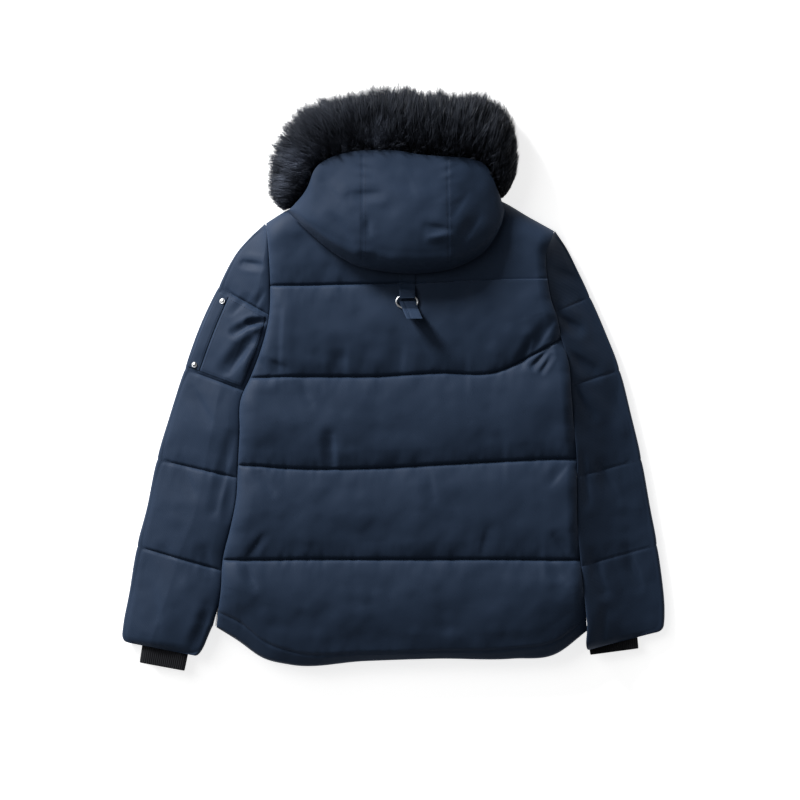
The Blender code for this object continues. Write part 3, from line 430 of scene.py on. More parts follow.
def add_front(side):
    """One front, as rings from the table up, rolled in at the table and pinched."""
    name = "front_left" if side < 0 else "front_right"
    across = np.linspace(CENTRE_FRONT_SHARE, 0.0 if side < 0 else 1.0, FRONT_ACROSS_POINTS)
    up = np.linspace(0.0, 1.0, FRONT_SIDE_POINTS)[1:-1]
    u = np.concatenate([across, np.full(len(up), across[-1]), across[::-1]])
    share = np.concatenate([np.zeros(len(across)), up, np.ones(len(across))])
    pinch = seam_nearness(u, share) * FRONT_SEAM_PINCH
    ends = smooth_step(share / BULGE_HEM_FADE) * smooth_step((1.0 - share) / BULGE_NECK_FADE)
    limit = CENTRE_FRONT + side * CLOSING_GAP
    rings = []
    for level in np.linspace(0.0, 1.0, FRONT_LEVELS):
        roll = FRONT_ROLL * (1.0 - round_over(level, FRONT_ROLL_SHARE))
        waves = ripples(share * FRONT_WAVES_UP,
                        u * FRONT_WAVES_ACROSS + level * FRONT_WAVES_DEEP, seed=11)
        waves = waves * math.sin(math.pi * level)
        bulge = FRONT_BULGE * math.exp(-((level - 0.5) / BULGE_WIDTH) ** 2) * ends
        inset = FRONT_INSET - bulge + roll + pinch * FRONT_PINCH_DRAW + FRONT_WAVE * waves
        x, y = body_share_rows(inset, u, share)
        x = np.maximum(x, limit) if side > 0 else np.minimum(x, limit)
        x[0] = limit
        x[-1] = limit
        z = np.full_like(x, mix(TABLE_CLEARANCE, FRONT_TOP - TOP_CLEARANCE, level))
        rings.append(np.stack([x, y, z], 1))
    points, faces = stacked_rings(rings)
    if side < 0:
        faces = [face[::-1] for face in faces]
    rubbed = np.tile(pinch / FRONT_SEAM_PINCH, len(rings))
    piece = make_piece(name + "_cloth", points, faces, front_cloth, "shell_cloth",
                       rubbed=rubbed)
    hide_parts(name)


front_cloth = navy_twill("front_navy_twill")
for front_side in (-1, 1):
    add_front(front_side)

# -------------------------------------------------------------------------- Back panel
# The back lies over the fronts: a yoke and four quilted channels of down between two
# layers of twill, with a curved shirt-tail hem turned up and stitched.

# Line numbers of the seams and the channels over them, counted up from the hem
HEM_BAND = 0
HEM_STITCH = 1
UPPER_QUILT = 4
YOKE = 5
# Heights over the fronts, and how the channels fill towards their seams
QUILT_SEAM_RISE = 26.0
HEM_STITCH_RISE = 22.0
YOKE_SEAM_RISE = 22.0
HEM_CHANNEL_BEND = 1.5
HEM_EDGE_SHARE = 0.45
HEM_TURN = 0.14
YOKE_FULL_AT = 0.45
YOKE_TURN = 0.35
RIM = 2.0
PANEL_GAP = 0.3
# The sides, rounded over to a share of the height
LEFT_EDGE_ROUND = 30.0
LEFT_EDGE_SHARE = 0.6
RIGHT_EDGE_ROUND = 18.0
RIGHT_EDGE_SHARE = 0.80
# The groove along a seam. The yoke seam is pulled less from a share across the back, and
# the quilting seam under it only at its right end.
SEAM_GROOVE = 2.4
SEAM_GROOVE_WIDTH = 2.6
HEM_STITCH_HOLD = 0.55
SEAM_EASES_AT = 0.42
SEAM_EASING = 0.16
SEAM_EASED_RISE = 8.0
SEAM_EASED_SHARE = 0.8
QUILT_EASES_AT = 0.95
QUILT_EASING = 0.04
QUILT_EASED_SHARE = 0.7
NO_SEAM = 999.0
# Gathers and swells of the cloth, each seam's shifted along from the next one's
PUCKER_DEPTH = 1.5
EDGE_PUCKER_SHARE = 0.5
GATHER_SHIFT = 61.0
SIDE_GATHER_SHIFT = 7.0
SWELL_DEPTH = 2.2
SWELL_REACH = 30.0
BROAD_SWELL = (58.0, 46.0)
SWELL_SHIFT = (3.3, 1.7)
SMALL_SWELL = (27.0, 31.0)
BROAD_SWELL_SHARE = 0.7
# How far paler twill reaches from a seam and from an edge: worn, and a painted highlight on
# the back's lit left edge
RUBBED_SEAM = 5.0
EDGE_WEAR_AND_HIGHLIGHT = 7.0
POINT_SPACING = 2.4
BACK_COLUMNS = 262
# The stitching: short raised stitches, and the seams that show them, to a share across
STITCH_PITCH = 3.7
STITCH_LENGTH = 1.35
STITCH_HALF_WIDTH = 0.42
STITCH_HEIGHT = 0.25
STITCH_LIFT = 0.1
STITCH_SIDES = ((0, 1), (1, 2), (2, 3), (3, 0))
THREAD_DARK = (0.010, 0.014, 0.026, 1.0)
THREAD_PALE = (0.012, 0.020, 0.038, 1.0)
SEAM_POINTS = 300
SEAM_START = 0.012
StitchedLine = namedtuple("StitchedLine", "line end")
STITCHED_LINES = tuple(StitchedLine(*row) for row in (
    (1, 0.988), (2, 0.988), (3, 0.988), (4, 0.9), (5, 0.5),
))

# Gathers beside a seam, fine and broad: their spacing along it and away from it, how far
# from it they reach, and their share of the depth
Gather = namedtuple("Gather", "along away reach share")
GATHERS = (Gather(8.5, 26.0, 15.0, 0.55), Gather(21.0, 55.0, 39.0, 0.8))

# The larger creases, from one end to the other, with half width and depth. A negative
# depth makes a ridge.
Crease = namedtuple("Crease", "x1 y1 x2 y2 width depth")
CREASE_LEAN = 0.45
CREASE_END_SHARE = 0.55
CREASE_RIDGE_AWAY = 2.1
CREASE_RIDGE_SHARE = 0.28
BACK_CREASES = tuple(Crease(*row) for row in (
    (232, 20, 258, 46, 5, 4.0),
    (246, 12, 262, 36, 4, 3.0),
    (262, 92, 234, 50, 9, 3.0),
    (226, 60, 214, 22, 7, 2.0),
    (-186, 112, -190, 12, 9, 2.8),
    (-206, 28, -178, 16, 8, 2.4),
    (-222, 34, -205, 6, 10, 5.0),
    (-101, -96, -98, -140, 9, 4.0),
    (-82, 50, -84, 8, 13, 3.0),
    (13, 50, 10, 12, 13, 2.4),
    (-150, -8, -132, -40, 7, 1.8),
    (60, -158, 68, -196, 9, 1.8),
    (-215, -158, -196, -186, 7, 2.0),
    (-243, -306, -226, -340, 7, 2.4),
    (262, -306, 284, -336, 8, 2.4),
    (285, -144, 262, -172, 8, 2.2),
    (-235, -292, -214, -262, 6, 1.8),
    (290, -290, 268, -262, 7, 2.0),
    (150, -286, 158, -252, 9, 1.6),
))


def spaced(count, ends=0.35):
    """Shares from 0 to 1, closer together towards both ends."""
    even = np.linspace(0.0, 1.0, count)
    eased = 0.5 - 0.5 * np.cos(np.pi * even)
    return mix(even, eased, ends)


def creased(x, y, creases):
    """How far creases draw a surface in, sharper on one side and with a low ridge."""
    total = np.zeros_like(x)
    for crease in creases:
        along_x = crease.x2 - crease.x1
        along_y = crease.y2 - crease.y1
        length = math.hypot(along_x, along_y)
        share = ((x - crease.x1) * along_x + (y - crease.y1) * along_y) / length**2
        share = np.clip(share, 0.0, 1.0)
        away = np.hypot(x - crease.x1 - share * along_x, y - crease.y1 - share * along_y)
        side = ((x - crease.x1) * along_y - (y - crease.y1) * along_x) / length
        lean = 1.0 + CREASE_LEAN * np.tanh(side / crease.width)
        taper = mix(CREASE_END_SHARE, 1.0, np.sin(np.pi * share))
        trough = np.exp(-(away / (crease.width * lean)) ** 2)
        ridge = np.exp(-((away - CREASE_RIDGE_AWAY * crease.width) / crease.width) ** 2)
        total += crease.depth * taper * (trough - CREASE_RIDGE_SHARE * ridge)
    return total


def puckers(along, away, seed):
    """Little gathers that stand across a seam and fade away from it."""
    total = 0.0
    for number, gather in enumerate(GATHERS):
        waves = ripples(along / gather.along, away / gather.away, seed + number)
        total = total + gather.share * waves * np.exp(-away / gather.reach)
    return PUCKER_DEPTH * total


def swells(x, y, seed):
    """Broad unevenness of the down under the cloth."""
    broad = ripples(x / BROAD_SWELL[0] + SWELL_SHIFT[0], y / BROAD_SWELL[1] + SWELL_SHIFT[1],
                    seed)
    small = ripples((x + y) / SMALL_SWELL[0], (x - y) / SMALL_SWELL[1], seed + 1)
    return SWELL_DEPTH * mix(small, broad, BROAD_SWELL_SHARE)


def body_line_ys(u):
    """The y of every seam and edge of the body at places across it."""
    return np.array([curve(STATIONS, line.y, u) for line in BODY_LINES])


def back_place(line, step, u):
    """Flat points of the back at a line number, a share of its channel and across."""
    ys = body_line_ys(u)
    low = np.take_along_axis(ys, line[None], 0)[0]
    high = np.take_along_axis(ys, line[None] + 1, 0)[0]
    ends = np.array([(row.y[0], row.y[-1]) for row in BODY_LINES], float)
    left_y = mix(ends[line, 0], ends[line + 1, 0], step)
    right_y = mix(ends[line, 1], ends[line + 1, 1], step)
    left = curve(*zip(*LEFT_EDGE), left_y)
    right = curve(*zip(*RIGHT_EDGE), right_y)
    return mix(left, right, u), mix(low, high, step), left, right, high - low


def back_rise(line, step, u):
    """Height of the down channels over the fronts, from seam to seam."""
    rises = np.array([row.rise for row in BODY_LINES], float)
    eased = smooth_step((u - SEAM_EASES_AT) / SEAM_EASING)
    under_yoke = eased * ((line == UPPER_QUILT) & (step > 0.5))
    start = np.where(line == HEM_STITCH, mix(HEM_STITCH_RISE, QUILT_SEAM_RISE, step),
                     QUILT_SEAM_RISE) + SEAM_EASED_RISE * under_yoke
    full = puff(np.where(line == HEM_STITCH, step**HEM_CHANNEL_BEND, step))
    full = mix(full, full**3, under_yoke)
    channel = start + (rises[line] - start) * full
    hem_band = rises[HEM_BAND] * mix(HEM_EDGE_SHARE, 1.0, step) * round_over(step, HEM_TURN)
    yoke_full = puff(0.5 * np.minimum(step / YOKE_FULL_AT, 1.0))
    yoke = mix(YOKE_SEAM_RISE + SEAM_EASED_RISE * eased, rises[YOKE], yoke_full)
    yoke = yoke * round_over(1.0 - step, YOKE_TURN)
    return np.select([line == HEM_BAND, line == YOKE], [hem_band, yoke], channel)


def back_seam(line, step, u, tall):
    """Distance to the nearest seam, its line number, and how firmly it is pulled."""
    below = np.where(line > HEM_BAND, step * tall, NO_SEAM)
    above = np.where(line < YOKE, (1.0 - step) * tall, NO_SEAM)
    number = np.where(below < above, line, line + 1)
    yoke_held = 1.0 - SEAM_EASED_SHARE * smooth_step((u - SEAM_EASES_AT) / SEAM_EASING)
    quilt_held = 1.0 - QUILT_EASED_SHARE * smooth_step((u - QUILT_EASES_AT) / QUILT_EASING)
    held = np.select([number == HEM_STITCH, number == UPPER_QUILT, number == YOKE],
                     [HEM_STITCH_HOLD, quilt_held, yoke_held], 1.0)
    return np.minimum(below, above), number, held


def off_seam(away):
    """0 at a seam and 1 where the down is loose."""
    return np.clip(away / SWELL_REACH, 0.0, 1.0)


def back_surface(line, step, u):
    """Points of the back's outer face, and how pale it is painted: worn seams, highlit left
    edge.
    """
    x, y, left, right, tall = back_place(line, step, u)
    away, number, held = back_seam(line, step, u, tall)
    rise = back_rise(line, step, u)
    rise -= SEAM_GROOVE * np.exp(-(away / SEAM_GROOVE_WIDTH) ** 2) * held
    rise += puckers(x + GATHER_SHIFT * number, away, seed=21) * held
    rise += swells(x, y, seed=31) * off_seam(away)
    rise -= creased(x, y, BACK_CREASES)
    from_side = np.minimum(x - left, right - x)
    rise += puckers(y + SIDE_GATHER_SHIFT, from_side, seed=41) * EDGE_PUCKER_SHARE
    roll = np.clip((right - x) / RIGHT_EDGE_ROUND, 0.0, 1.0)
    side = mix(LEFT_EDGE_SHARE, 1.0, round_over(x - left, LEFT_EDGE_ROUND))
    side = side * mix(RIGHT_EDGE_SHARE, 1.0, roll * (2.0 - roll))
    z = FRONT_TOP + np.maximum(side * rise, RIM)
    # Worn seams, and a painted highlight along the lit left edge only
    rubbed = np.maximum(np.exp(-away / RUBBED_SEAM) * held, np.exp(-(x - left) / EDGE_WEAR_AND_HIGHLIGHT))
    return np.stack([x, y, z], -1), rubbed


def draped_panel(name, top, under, paint, slot, **values):
    """A closed pad from a grid of outer points over rings of inner ones."""
    rows, columns = top.shape[:2]
    faces = grid_faces(rows, columns).tolist()
    r, c = border(rows, columns)
    loop = r * columns + c
    points = [top.reshape(-1, 3)]
    total = rows * columns
    for ring in under:
        below = np.arange(len(ring)) + total
        faces += ring_faces(below, loop).tolist()
        points.append(ring)
        total += len(ring)
        loop = below
    faces.append(loop[::-1].tolist())
    under_count = total - rows * columns
    values = {key: np.concatenate([amount.ravel(), np.zeros(under_count)])
              for key, amount in values.items()}
    return make_piece(name, np.concatenate(points), faces, paint, slot, **values)


def lay_stitches(name, paths, paint):
    """Short stitches of thread along lines on the cloth, in one mesh."""
    points = []
    faces = []
    for path in paths:
        steps = np.linalg.norm(np.diff(path, axis=0), axis=1)
        run = np.concatenate([[0.0], np.cumsum(steps)])
        places = np.arange(STITCH_PITCH, run[-1] - STITCH_PITCH, STITCH_PITCH)
        centre = np.stack([np.interp(places, run, path[:, i]) for i in range(3)], 1)
        ahead = np.stack([np.interp(places + 1.0, run, path[:, i]) for i in range(3)], 1)
        along = ahead - centre
        along /= np.linalg.norm(along, axis=1)[:, None]
        aside = np.cross(along, (0.0, 0.0, 1.0))
        aside /= np.linalg.norm(aside, axis=1)[:, None]
        outward = np.cross(aside, along)
        for middle, ahead_of, beside, out in zip(centre, along, aside, outward):
            first = len(points)
            middle = middle + out * STITCH_LIFT
            points += [middle - ahead_of * STITCH_LENGTH, middle + ahead_of * STITCH_LENGTH]
            beside = beside * STITCH_HALF_WIDTH
            out = out * STITCH_HEIGHT
            points += [middle + beside, middle + out, middle - beside, middle - out]
            for a, b in STITCH_SIDES:
                faces.append((first, first + 2 + a, first + 2 + b))
                faces.append((first + 1, first + 2 + b, first + 2 + a))
    return make_piece(name, np.array(points), faces, paint, "shell_cloth")


def thread_paint():
    """Spun polyester thread in the twill's own colour."""
    paint, shade, shader = start_material(
        "navy_thread", Roughness=0.5, Specular_IOR_Level=0.1)
    strand = place_of(shade).noise(700.0)
    join_shader(shader, strand.mixed(THREAD_DARK, THREAD_PALE), strand * 0.2 + 0.4)
    return paint


def back_rows():
    """Line number and share of the channel of each row of the back."""
    numbers = []
    steps = []
    for i, (lower, upper) in enumerate(zip(BODY_LINES, BODY_LINES[1:])):
        count = int((upper.y[4] - lower.y[4]) / POINT_SPACING) + 6
        shares = spaced(count)
        if i < len(BODY_LINES) - 2:
            shares = shares[:-1]
        numbers += [i] * len(shares)
        steps += shares.tolist()
    return np.array(numbers), np.array(steps)


def seam_path(line, end):
    """A line of points along one seam of the back."""
    u = np.linspace(SEAM_START, end, SEAM_POINTS)
    return back_surface(np.full(SEAM_POINTS, line), np.zeros(SEAM_POINTS), u)[0]


row_lines, row_steps = back_rows()
columns_u = spaced(BACK_COLUMNS, 0.5)
line_grid, u_grid = np.meshgrid(row_lines, columns_u, indexing="ij")
step_grid = np.repeat(row_steps[:, None], len(columns_u), 1)
back_top, back_rubbed = back_surface(line_grid, step_grid, u_grid)
border_r, border_c = border(*back_top.shape[:2])
back_under = back_top[border_r, border_c] * (1.0, 1.0, 0.0) + (0.0, 0.0, FRONT_TOP + PANEL_GAP)
back_cloth = draped_panel("back_cloth", back_top, [back_under], navy_twill("back_navy_twill"),
                          "shell_cloth", rubbed=back_rubbed)
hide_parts("back_panel")
navy_thread = thread_paint()
lay_stitches("back_stitches", [seam_path(*ends) for ends in STITCHED_LINES], navy_thread)

# ----------------------------------------------------------------------------- Sleeves
# Each sleeve is a padded tube quilted across in four places, laid flat beside the body
# with its fullest line near the body, and turned in at the hem round its rib cuff.

# Line numbers of the shoulder, the four quilting seams and the hem, and their spacing
SLEEVE_SEAM_LINES = (0, 3, 5, 7, 9, 12)
LINE_SPACING = 72.0
HEM_LINE_SPACING = 0.5 * LINE_SPACING
# The outer seam: rounded over, pinched at the quilting and cut round at the hem's corner
SLEEVE_OUTER_ROUND = 0.1
SLEEVE_EDGE_PINCH = 1.6
SLEEVE_EDGE_REACH = 22.0
SLEEVE_CORNER_LINES = 0.4
SLEEVE_CORNER = 10.0
SLEEVE_CORNER_INNER = 0.7
# The hem, rolled over to a share of the height
SLEEVE_HEM_ROLL = 12.0
SLEEVE_HEM_SHARE = 0.35
SLEEVE_LEAST_RISE = 5.2
SLEEVE_RIM_SHARE = 0.04
SLEEVE_GATHER_SHIFT = 83.0
# The shoulder grows thin to its point, and the underside turns up at both sides
SHOULDER_THINNING = 55.0
SHOULDER_FLAT_WIDTH = 70.0
SLEEVE_TURN = 0.13
SLEEVE_UNDERCUT = 1.8
SLEEVE_UNDER_LIFT = 0.5
SLEEVE_ROWS_PER_LINE = 29
SLEEVE_COLUMNS = 74
SLEEVE_SIDE_COLUMNS = 9
SLEEVE_UNDER_COLUMNS = 12
SLEEVE_MOUTH_BULGE = 34.0

# Rings that turn the hem in and close the sleeve inside it: how many lines back from the
# hem, half their height, and how far in from the sleeve's sides
MouthRing = namedtuple("MouthRing", "back height wall")
SLEEVE_MOUTH = tuple(MouthRing(*row) for row in (
    (0.0, 4.1, 6.5), (0.12, 4.3, 4.2), (1.0, 4.3, 3.6), (1.4, 0.8, 12.0), (2.2, 0.6, 20.0),
))

# Sections from the shoulder to the hem: the point on the outer edge, the place up the
# body's edge where the inner end lies, and how far it keeps from that edge
SleeveLine = namedtuple("SleeveLine", "outer_x outer_y inner_y gap")
SLEEVE_LEFT = tuple(SleeveLine(*row) for row in (
    (-210, 256, 249, 0.25), (-236, 232, 196, 0.25), (-261, 202, 154, 0.25),
    (-288, 151, 104, 0.25), (-318, 87, 46, 0.25), (-344, 15, -21, 0.25),
    (-368, -61, -92, 0.25), (-390, -135, -165, 0.25), (-406, -214, -241, 0.25),
    (-423, -279, -318, 0.25), (-435, -353, -372, 0.25), (-444, -399, -409, 6.0),
    (-449, -438, -459, 27.0),
))
SLEEVE_RIGHT = tuple(SleeveLine(*row) for row in (
    (270, 244, 237, 0.25), (290, 214, 201, 0.25), (308, 178, 160, 0.25),
    (329, 134, 109, 0.25), (356, 71, 54, 0.25), (378, 13, -13, 0.25),
    (397, -63, -89, 0.25), (414, -135, -163, 0.25), (428, -214, -238, 0.25),
    (440, -277, -310, 0.25), (450, -353, -366, 0.25), (452, -391, -404, 0.25),
    (450, -421, -449, -4.0),
))
SLEEVES = {
    "sleeve_left": (SLEEVE_LEFT, LEFT_EDGE, -1),
    "sleeve_right": (SLEEVE_RIGHT, RIGHT_EDGE, 1),
}
# How each sleeve lies: the heights of its outer seam and of its fullest line, its share
# of that height at the outer seam, how deep its quilting is, how much thinner it is at
# the hem, and by line number where its fullest line lies, how hollow the slope up to it
# is, and over what width and to what share of its height it comes down to the body
SleeveForm = namedtuple("SleeveForm", "seam_z top outer groove thinning lines")
SLEEVE_FORMS = {
    "sleeve_left": SleeveForm(16.0, 55.0, 0.24, 0.34, 0.22, (
        (0, 0.80, 0.85, 0.22, 0.78),
        (8, 0.56, 0.85, 0.24, 0.72),
        (10, 0.42, 0.80, 0.48, 0.30),
        (12, 0.36, 0.70, 0.60, 0.08),
    )),
    "sleeve_right": SleeveForm(11.0, 62.0, 0.17, 0.11, 0.0, (
        (0, 1.0, 0.8, 0.05, 0.96),
        (5, 1.0, 1.2, 0.05, 0.96),
        (7, 1.0, 2.0, 0.05, 0.96),
        (11, 1.0, 2.2, 0.08, 0.90),
        (12, 1.0, 2.2, 0.08, 0.90),
    )),
}
SLEEVE_CREASES = {
    "sleeve_left": tuple(Crease(*row) for row in (
        (-203, 92, -234, 90, 5, 9.0), (-230, 90, -258, 74, 6, 7.0),
        (-234, 58, -270, 12, 10, 9.0),
        (-244, 191, -218, 187, 6, 5.0), (-222, 40, -232, 8, 6, 5.0),
        (-262, -98, -292, -218, 8, 3.0), (-262, -160, -268, -230, 7, 3.5),
        (-330, -20, -300, -70, 9, 2.2), (-346, -140, -330, -188, 9, 2.0),
        (-376, -285, -350, -330, 9, 2.0), (-300, -380, -322, -440, 9, 4.0),
        (-240, 130, -262, 108, 6, 2.4), (-212, 140, -226, 118, 5, 2.6),
        (-310, -285, -296, -330, 9, 2.6), (-395, -350, -386, -410, 10, 1.6),
    )),
    "sleeve_right": tuple(Crease(*row) for row in (
        (262, 104, 306, 84, 9, 6.0), (290, 40, 330, 15, 11, 5.0),
        (268, 178, 300, 168, 8, 3.0), (300, -20, 330, -60, 9, 3.0),
        (312, -130, 322, -200, 10, 3.0), (330, -290, 350, -350, 10, 2.6),
        (345, -150, 372, -196, 9, 2.0), (390, -285, 410, -340, 9, 2.0),
        (352, -384, 346, -430, 9, 1.6),
    )),
}


def sleeve_ends(name, line):
    """The outer and the inner end of sleeve sections at line numbers."""
    table, edge, side = SLEEVES[name]
    numbers = np.arange(len(table))
    outer_x, outer_y, inner_y = (curve(numbers, [row[i] for row in table], line)
                                 for i in range(3))
    gap = np.interp(line, numbers, [row.gap for row in table])
    inner_x = curve(*zip(*edge), inner_y) + side * gap
    pinch = SLEEVE_EDGE_PINCH * sleeve_quilt(line) ** 3
    hemward = (line - numbers[-1] + SLEEVE_CORNER_LINES) / SLEEVE_CORNER_LINES
    corner = SLEEVE_CORNER * (1.0 - np.sqrt(1.0 - np.clip(hemward, 0.0, 1.0) ** 2))
    outer_x = outer_x - side * (pinch + corner)
    return outer_x, outer_y, inner_x + side * SLEEVE_CORNER_INNER * corner, inner_y


def sleeve_quilt(line):
    """Depth of the quilting at a line number: 1 at a seam and 0 between seams."""
    ends = np.array(SLEEVE_SEAM_LINES, float)
    i = np.clip(np.searchsorted(ends, line, side="right") - 1, 0, len(ends) - 2)
    share = (line - ends[i]) / (ends[i + 1] - ends[i])
    share = np.where(i == 0, np.maximum(share, 0.5), share)
    return 1.0 - puff(share)


def sleeve_top(name, line, across):
    """Points of a sleeve's outer face, and how rubbed it is there."""
    outer_x, outer_y, inner_x, inner_y = sleeve_ends(name, line)
    width = np.hypot(inner_x - outer_x, inner_y - outer_y)
    x = mix(outer_x, inner_x, across)
    y = mix(outer_y, inner_y, across)
    full = 1.0 - np.exp(-width / SHOULDER_THINNING)
    form = SLEEVE_FORMS[name]
    numbers, *columns = zip(*form.lines)
    ridge, bend, inner_round, inner_share = (np.interp(line, numbers, column)
                                             for column in columns)
    climb = np.minimum(across / ridge, 1.0) ** bend
    rounding = round_over(across, SLEEVE_OUTER_ROUND) * mix(form.outer, 1.0, climb)
    rounding = rounding * mix(inner_share, 1.0, round_over(1.0 - across, inner_round))
    down = line / SLEEVE_SEAM_LINES[-1]
    rise = (form.top - FRONT_TOP) * (1.0 - form.thinning * down)
    rise = rise * (full - form.groove * sleeve_quilt(line))
    from_hem = (SLEEVE_SEAM_LINES[-1] - line) * HEM_LINE_SPACING
    rise = rise * mix(SLEEVE_HEM_SHARE, 1.0, round_over(from_hem, SLEEVE_HEM_ROLL))
    seams = np.array(SLEEVE_SEAM_LINES[1:-1], float)
    gap = line[..., None] - seams
    nearest = np.abs(gap).argmin(-1)
    away = np.abs(np.take_along_axis(gap, nearest[..., None], -1)[..., 0]) * LINE_SPACING
    detail = puckers(across * width + SLEEVE_GATHER_SHIFT * nearest, away, seed=51)
    pulled = SEAM_GROOVE * form.groove / SLEEVE_FORMS["sleeve_left"].groove
    detail -= pulled * np.exp(-(away / SEAM_GROOVE_WIDTH) ** 2)
    detail += swells(x, y, seed=61) * off_seam(away)
    detail -= creased(x, y, SLEEVE_CREASES[name])
    from_side = np.minimum(across, 1.0 - across)
    soft = np.clip(np.minimum(from_side * width / SLEEVE_EDGE_REACH, full), 0.0, 1.0)
    middle = sleeve_middle(name, across)
    z = middle + rise * rounding + detail * soft
    z = np.maximum(z, middle + SLEEVE_LEAST_RISE * round_over(from_side, SLEEVE_RIM_SHARE))
    rubbed = np.maximum(np.exp(-away / RUBBED_SEAM), np.exp(-across * width / EDGE_WEAR_AND_HIGHLIGHT))
    return np.stack([x, y, z], -1), rubbed


def sleeve_middle(name, across):
    """Height of a sleeve's edge seams and of the plane between its two walls."""
    return mix(SLEEVE_FORMS[name].seam_z, FRONT_TOP, across)


def sleeve_lines():
    """Line numbers of a sleeve's sections, closer together at its seams."""
    lines = []
    for start, end in zip(SLEEVE_SEAM_LINES, SLEEVE_SEAM_LINES[1:]):
        count = SLEEVE_ROWS_PER_LINE * (end - start)
        lines += mix(start, end, spaced(count, 0.3))[:-1].tolist()
    return np.array(lines + [SLEEVE_SEAM_LINES[-1]])


def add_sleeve(name):
    """One sleeve, as closed sections from the shoulder and back inside the hem."""
    lines = sleeve_lines()
    across = spaced(SLEEVE_COLUMNS, 0.4)
    line_at, across_at = np.meshgrid(lines, across, indexing="ij")
    top, top_rubbed = sleeve_top(name, line_at, across_at)
    turn = SLEEVE_TURN * spaced(SLEEVE_SIDE_COLUMNS)
    flat = np.linspace(1.0 - SLEEVE_TURN, SLEEVE_TURN, SLEEVE_UNDER_COLUMNS)
    under_across = np.concatenate([1.0 - turn[1:], flat[1:-1], turn[::-1][:-1]])
    outer_x, outer_y, inner_x, inner_y = (v[:, None] for v in sleeve_ends(name, lines))
    turned = np.clip(np.minimum(under_across, 1.0 - under_across) / SLEEVE_TURN, 0.0, 1.0)
    full = round_over(np.hypot(inner_x - outer_x, inner_y - outer_y), SHOULDER_FLAT_WIDTH)
    middle = sleeve_middle(name, under_across)[None]
    low = mix(middle * (1.0 - full), middle, 1.0 - round_over(turned, 1.0))
    inner_x = inner_x + SLEEVES[name][2] * SLEEVE_UNDERCUT * full
    under = np.stack([mix(outer_x, inner_x, under_across[None]),
                      mix(outer_y, inner_y, under_across[None]),
                      low + SLEEVE_UNDER_LIFT * (1.0 - low / FRONT_TOP)], -1)
    rings = list(np.concatenate([top, under], 1))
    rubbed = [np.concatenate([row, np.zeros(len(under_across))]) for row in top_rubbed]
    shares = np.concatenate([across, under_across])
    signs = np.concatenate([np.ones(len(across)), -np.ones(len(under_across))])
    bulge = np.minimum(1.0, SLEEVE_MOUTH_BULGE * np.minimum(shares, 1.0 - shares))
    for ring in SLEEVE_MOUTH:
        line = np.array(SLEEVE_SEAM_LINES[-1] - ring.back)
        outer_x, outer_y, inner_x, inner_y = sleeve_ends(name, line)
        wall = ring.wall / math.hypot(inner_x - outer_x, inner_y - outer_y)
        place = mix(wall, 1.0 - wall, shares)
        height = sleeve_middle(name, place) + ring.height * bulge * signs
        rings.append(np.stack([mix(outer_x, inner_x, place), mix(outer_y, inner_y, place),
                               height], 1))
        rubbed.append(np.zeros(len(shares)))
    points, faces = stacked_rings(rings)
    if SLEEVES[name][2] > 0:
        faces = [face[::-1] for face in faces]
    piece = make_piece(name + "_cloth", points, faces, navy_twill(name + "_navy_twill"),
                       "shell_cloth", rubbed=np.concatenate(rubbed))
    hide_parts(name)
    paths = []
    at = np.linspace(0.02, 0.97, 120)
    for line in SLEEVE_SEAM_LINES[1:-1]:
        paths.append(sleeve_top(name, np.full(len(at), float(line)), at)[0])
    lay_stitches(name + "_stitches", paths, navy_thread)


for sleeve in SLEEVES:
    add_sleeve(sleeve)

# ----------------------------------------------------------------------- Sleeve pocket
# A patch pocket of the same twill on the left upper sleeve. A narrow placket runs along
# its open outer edge, stitched down at both ends and shut with two domed press studs.

POCKET_START = 3.1
POCKET_END = 4.92
PATCH_ROWS = 76
PATCH_TOP = 2.3
PATCH_EDGE_DROP = 0.9
PATCH_EDGE_STEPS = 1.2
PATCH_RUBBED_STEPS = 1.5
PATCH_DOWN = (0.0, 0.0, -0.8)
PATCH_STITCH_LIFT = (0.0, 0.0, 0.15)
PATCH_SEAM_STEPS = 2
# The two patches: where each starts and ends as shares across the sleeve, its points
# across, and its real width
PocketPatch = namedtuple("PocketPatch", "name left right columns width")
POCKET_PATCHES = (
    PocketPatch("sleeve_pocket", 0.238, 0.93, 48, 76.0),
    PocketPatch("pocket_placket", 0.035, 0.222, 14, 20.0),
)
SNAP_RADIUS = 4.6
SNAP_LIFT = 0.3
SNAP_SLOPE_STEPS = (0.1, 0.04)
SNAP_POINTS = 36
STEEL_DARK = (0.60, 0.61, 0.63, 1.0)
STEEL_PALE = (0.90, 0.91, 0.92, 1.0)
Snap = namedtuple("Snap", "name line across")
SNAPS = (
    Snap("pocket_snap_upper", 3.27, 0.17),
    Snap("pocket_snap_lower", 4.84, 0.13),
)
# A stud from its rim to its crown: radius and height as shares of its own radius
SNAP_PROFILE = ((1.0, 0.0), (1.04, 0.12), (1.0, 0.26), (0.9, 0.34), (0.82, 0.33),
                (0.76, 0.4), (0.62, 0.52), (0.42, 0.62), (0.2, 0.67), (0.05, 0.68))


def bright_steel(name, polish):
    """Nickel-plated steel with fine handling marks."""
    paint, shade, shader = start_material(name, Metallic=1.0)
    marks = place_of(shade).noise(1400.0, 3.0)
    cloud = place_of(shade).noise(160.0)
    join_shader(shader, cloud.mixed(STEEL_DARK, STEEL_PALE), marks * 0.18 + polish,
                bumped(marks, 0.12, 0.0001))
    return paint


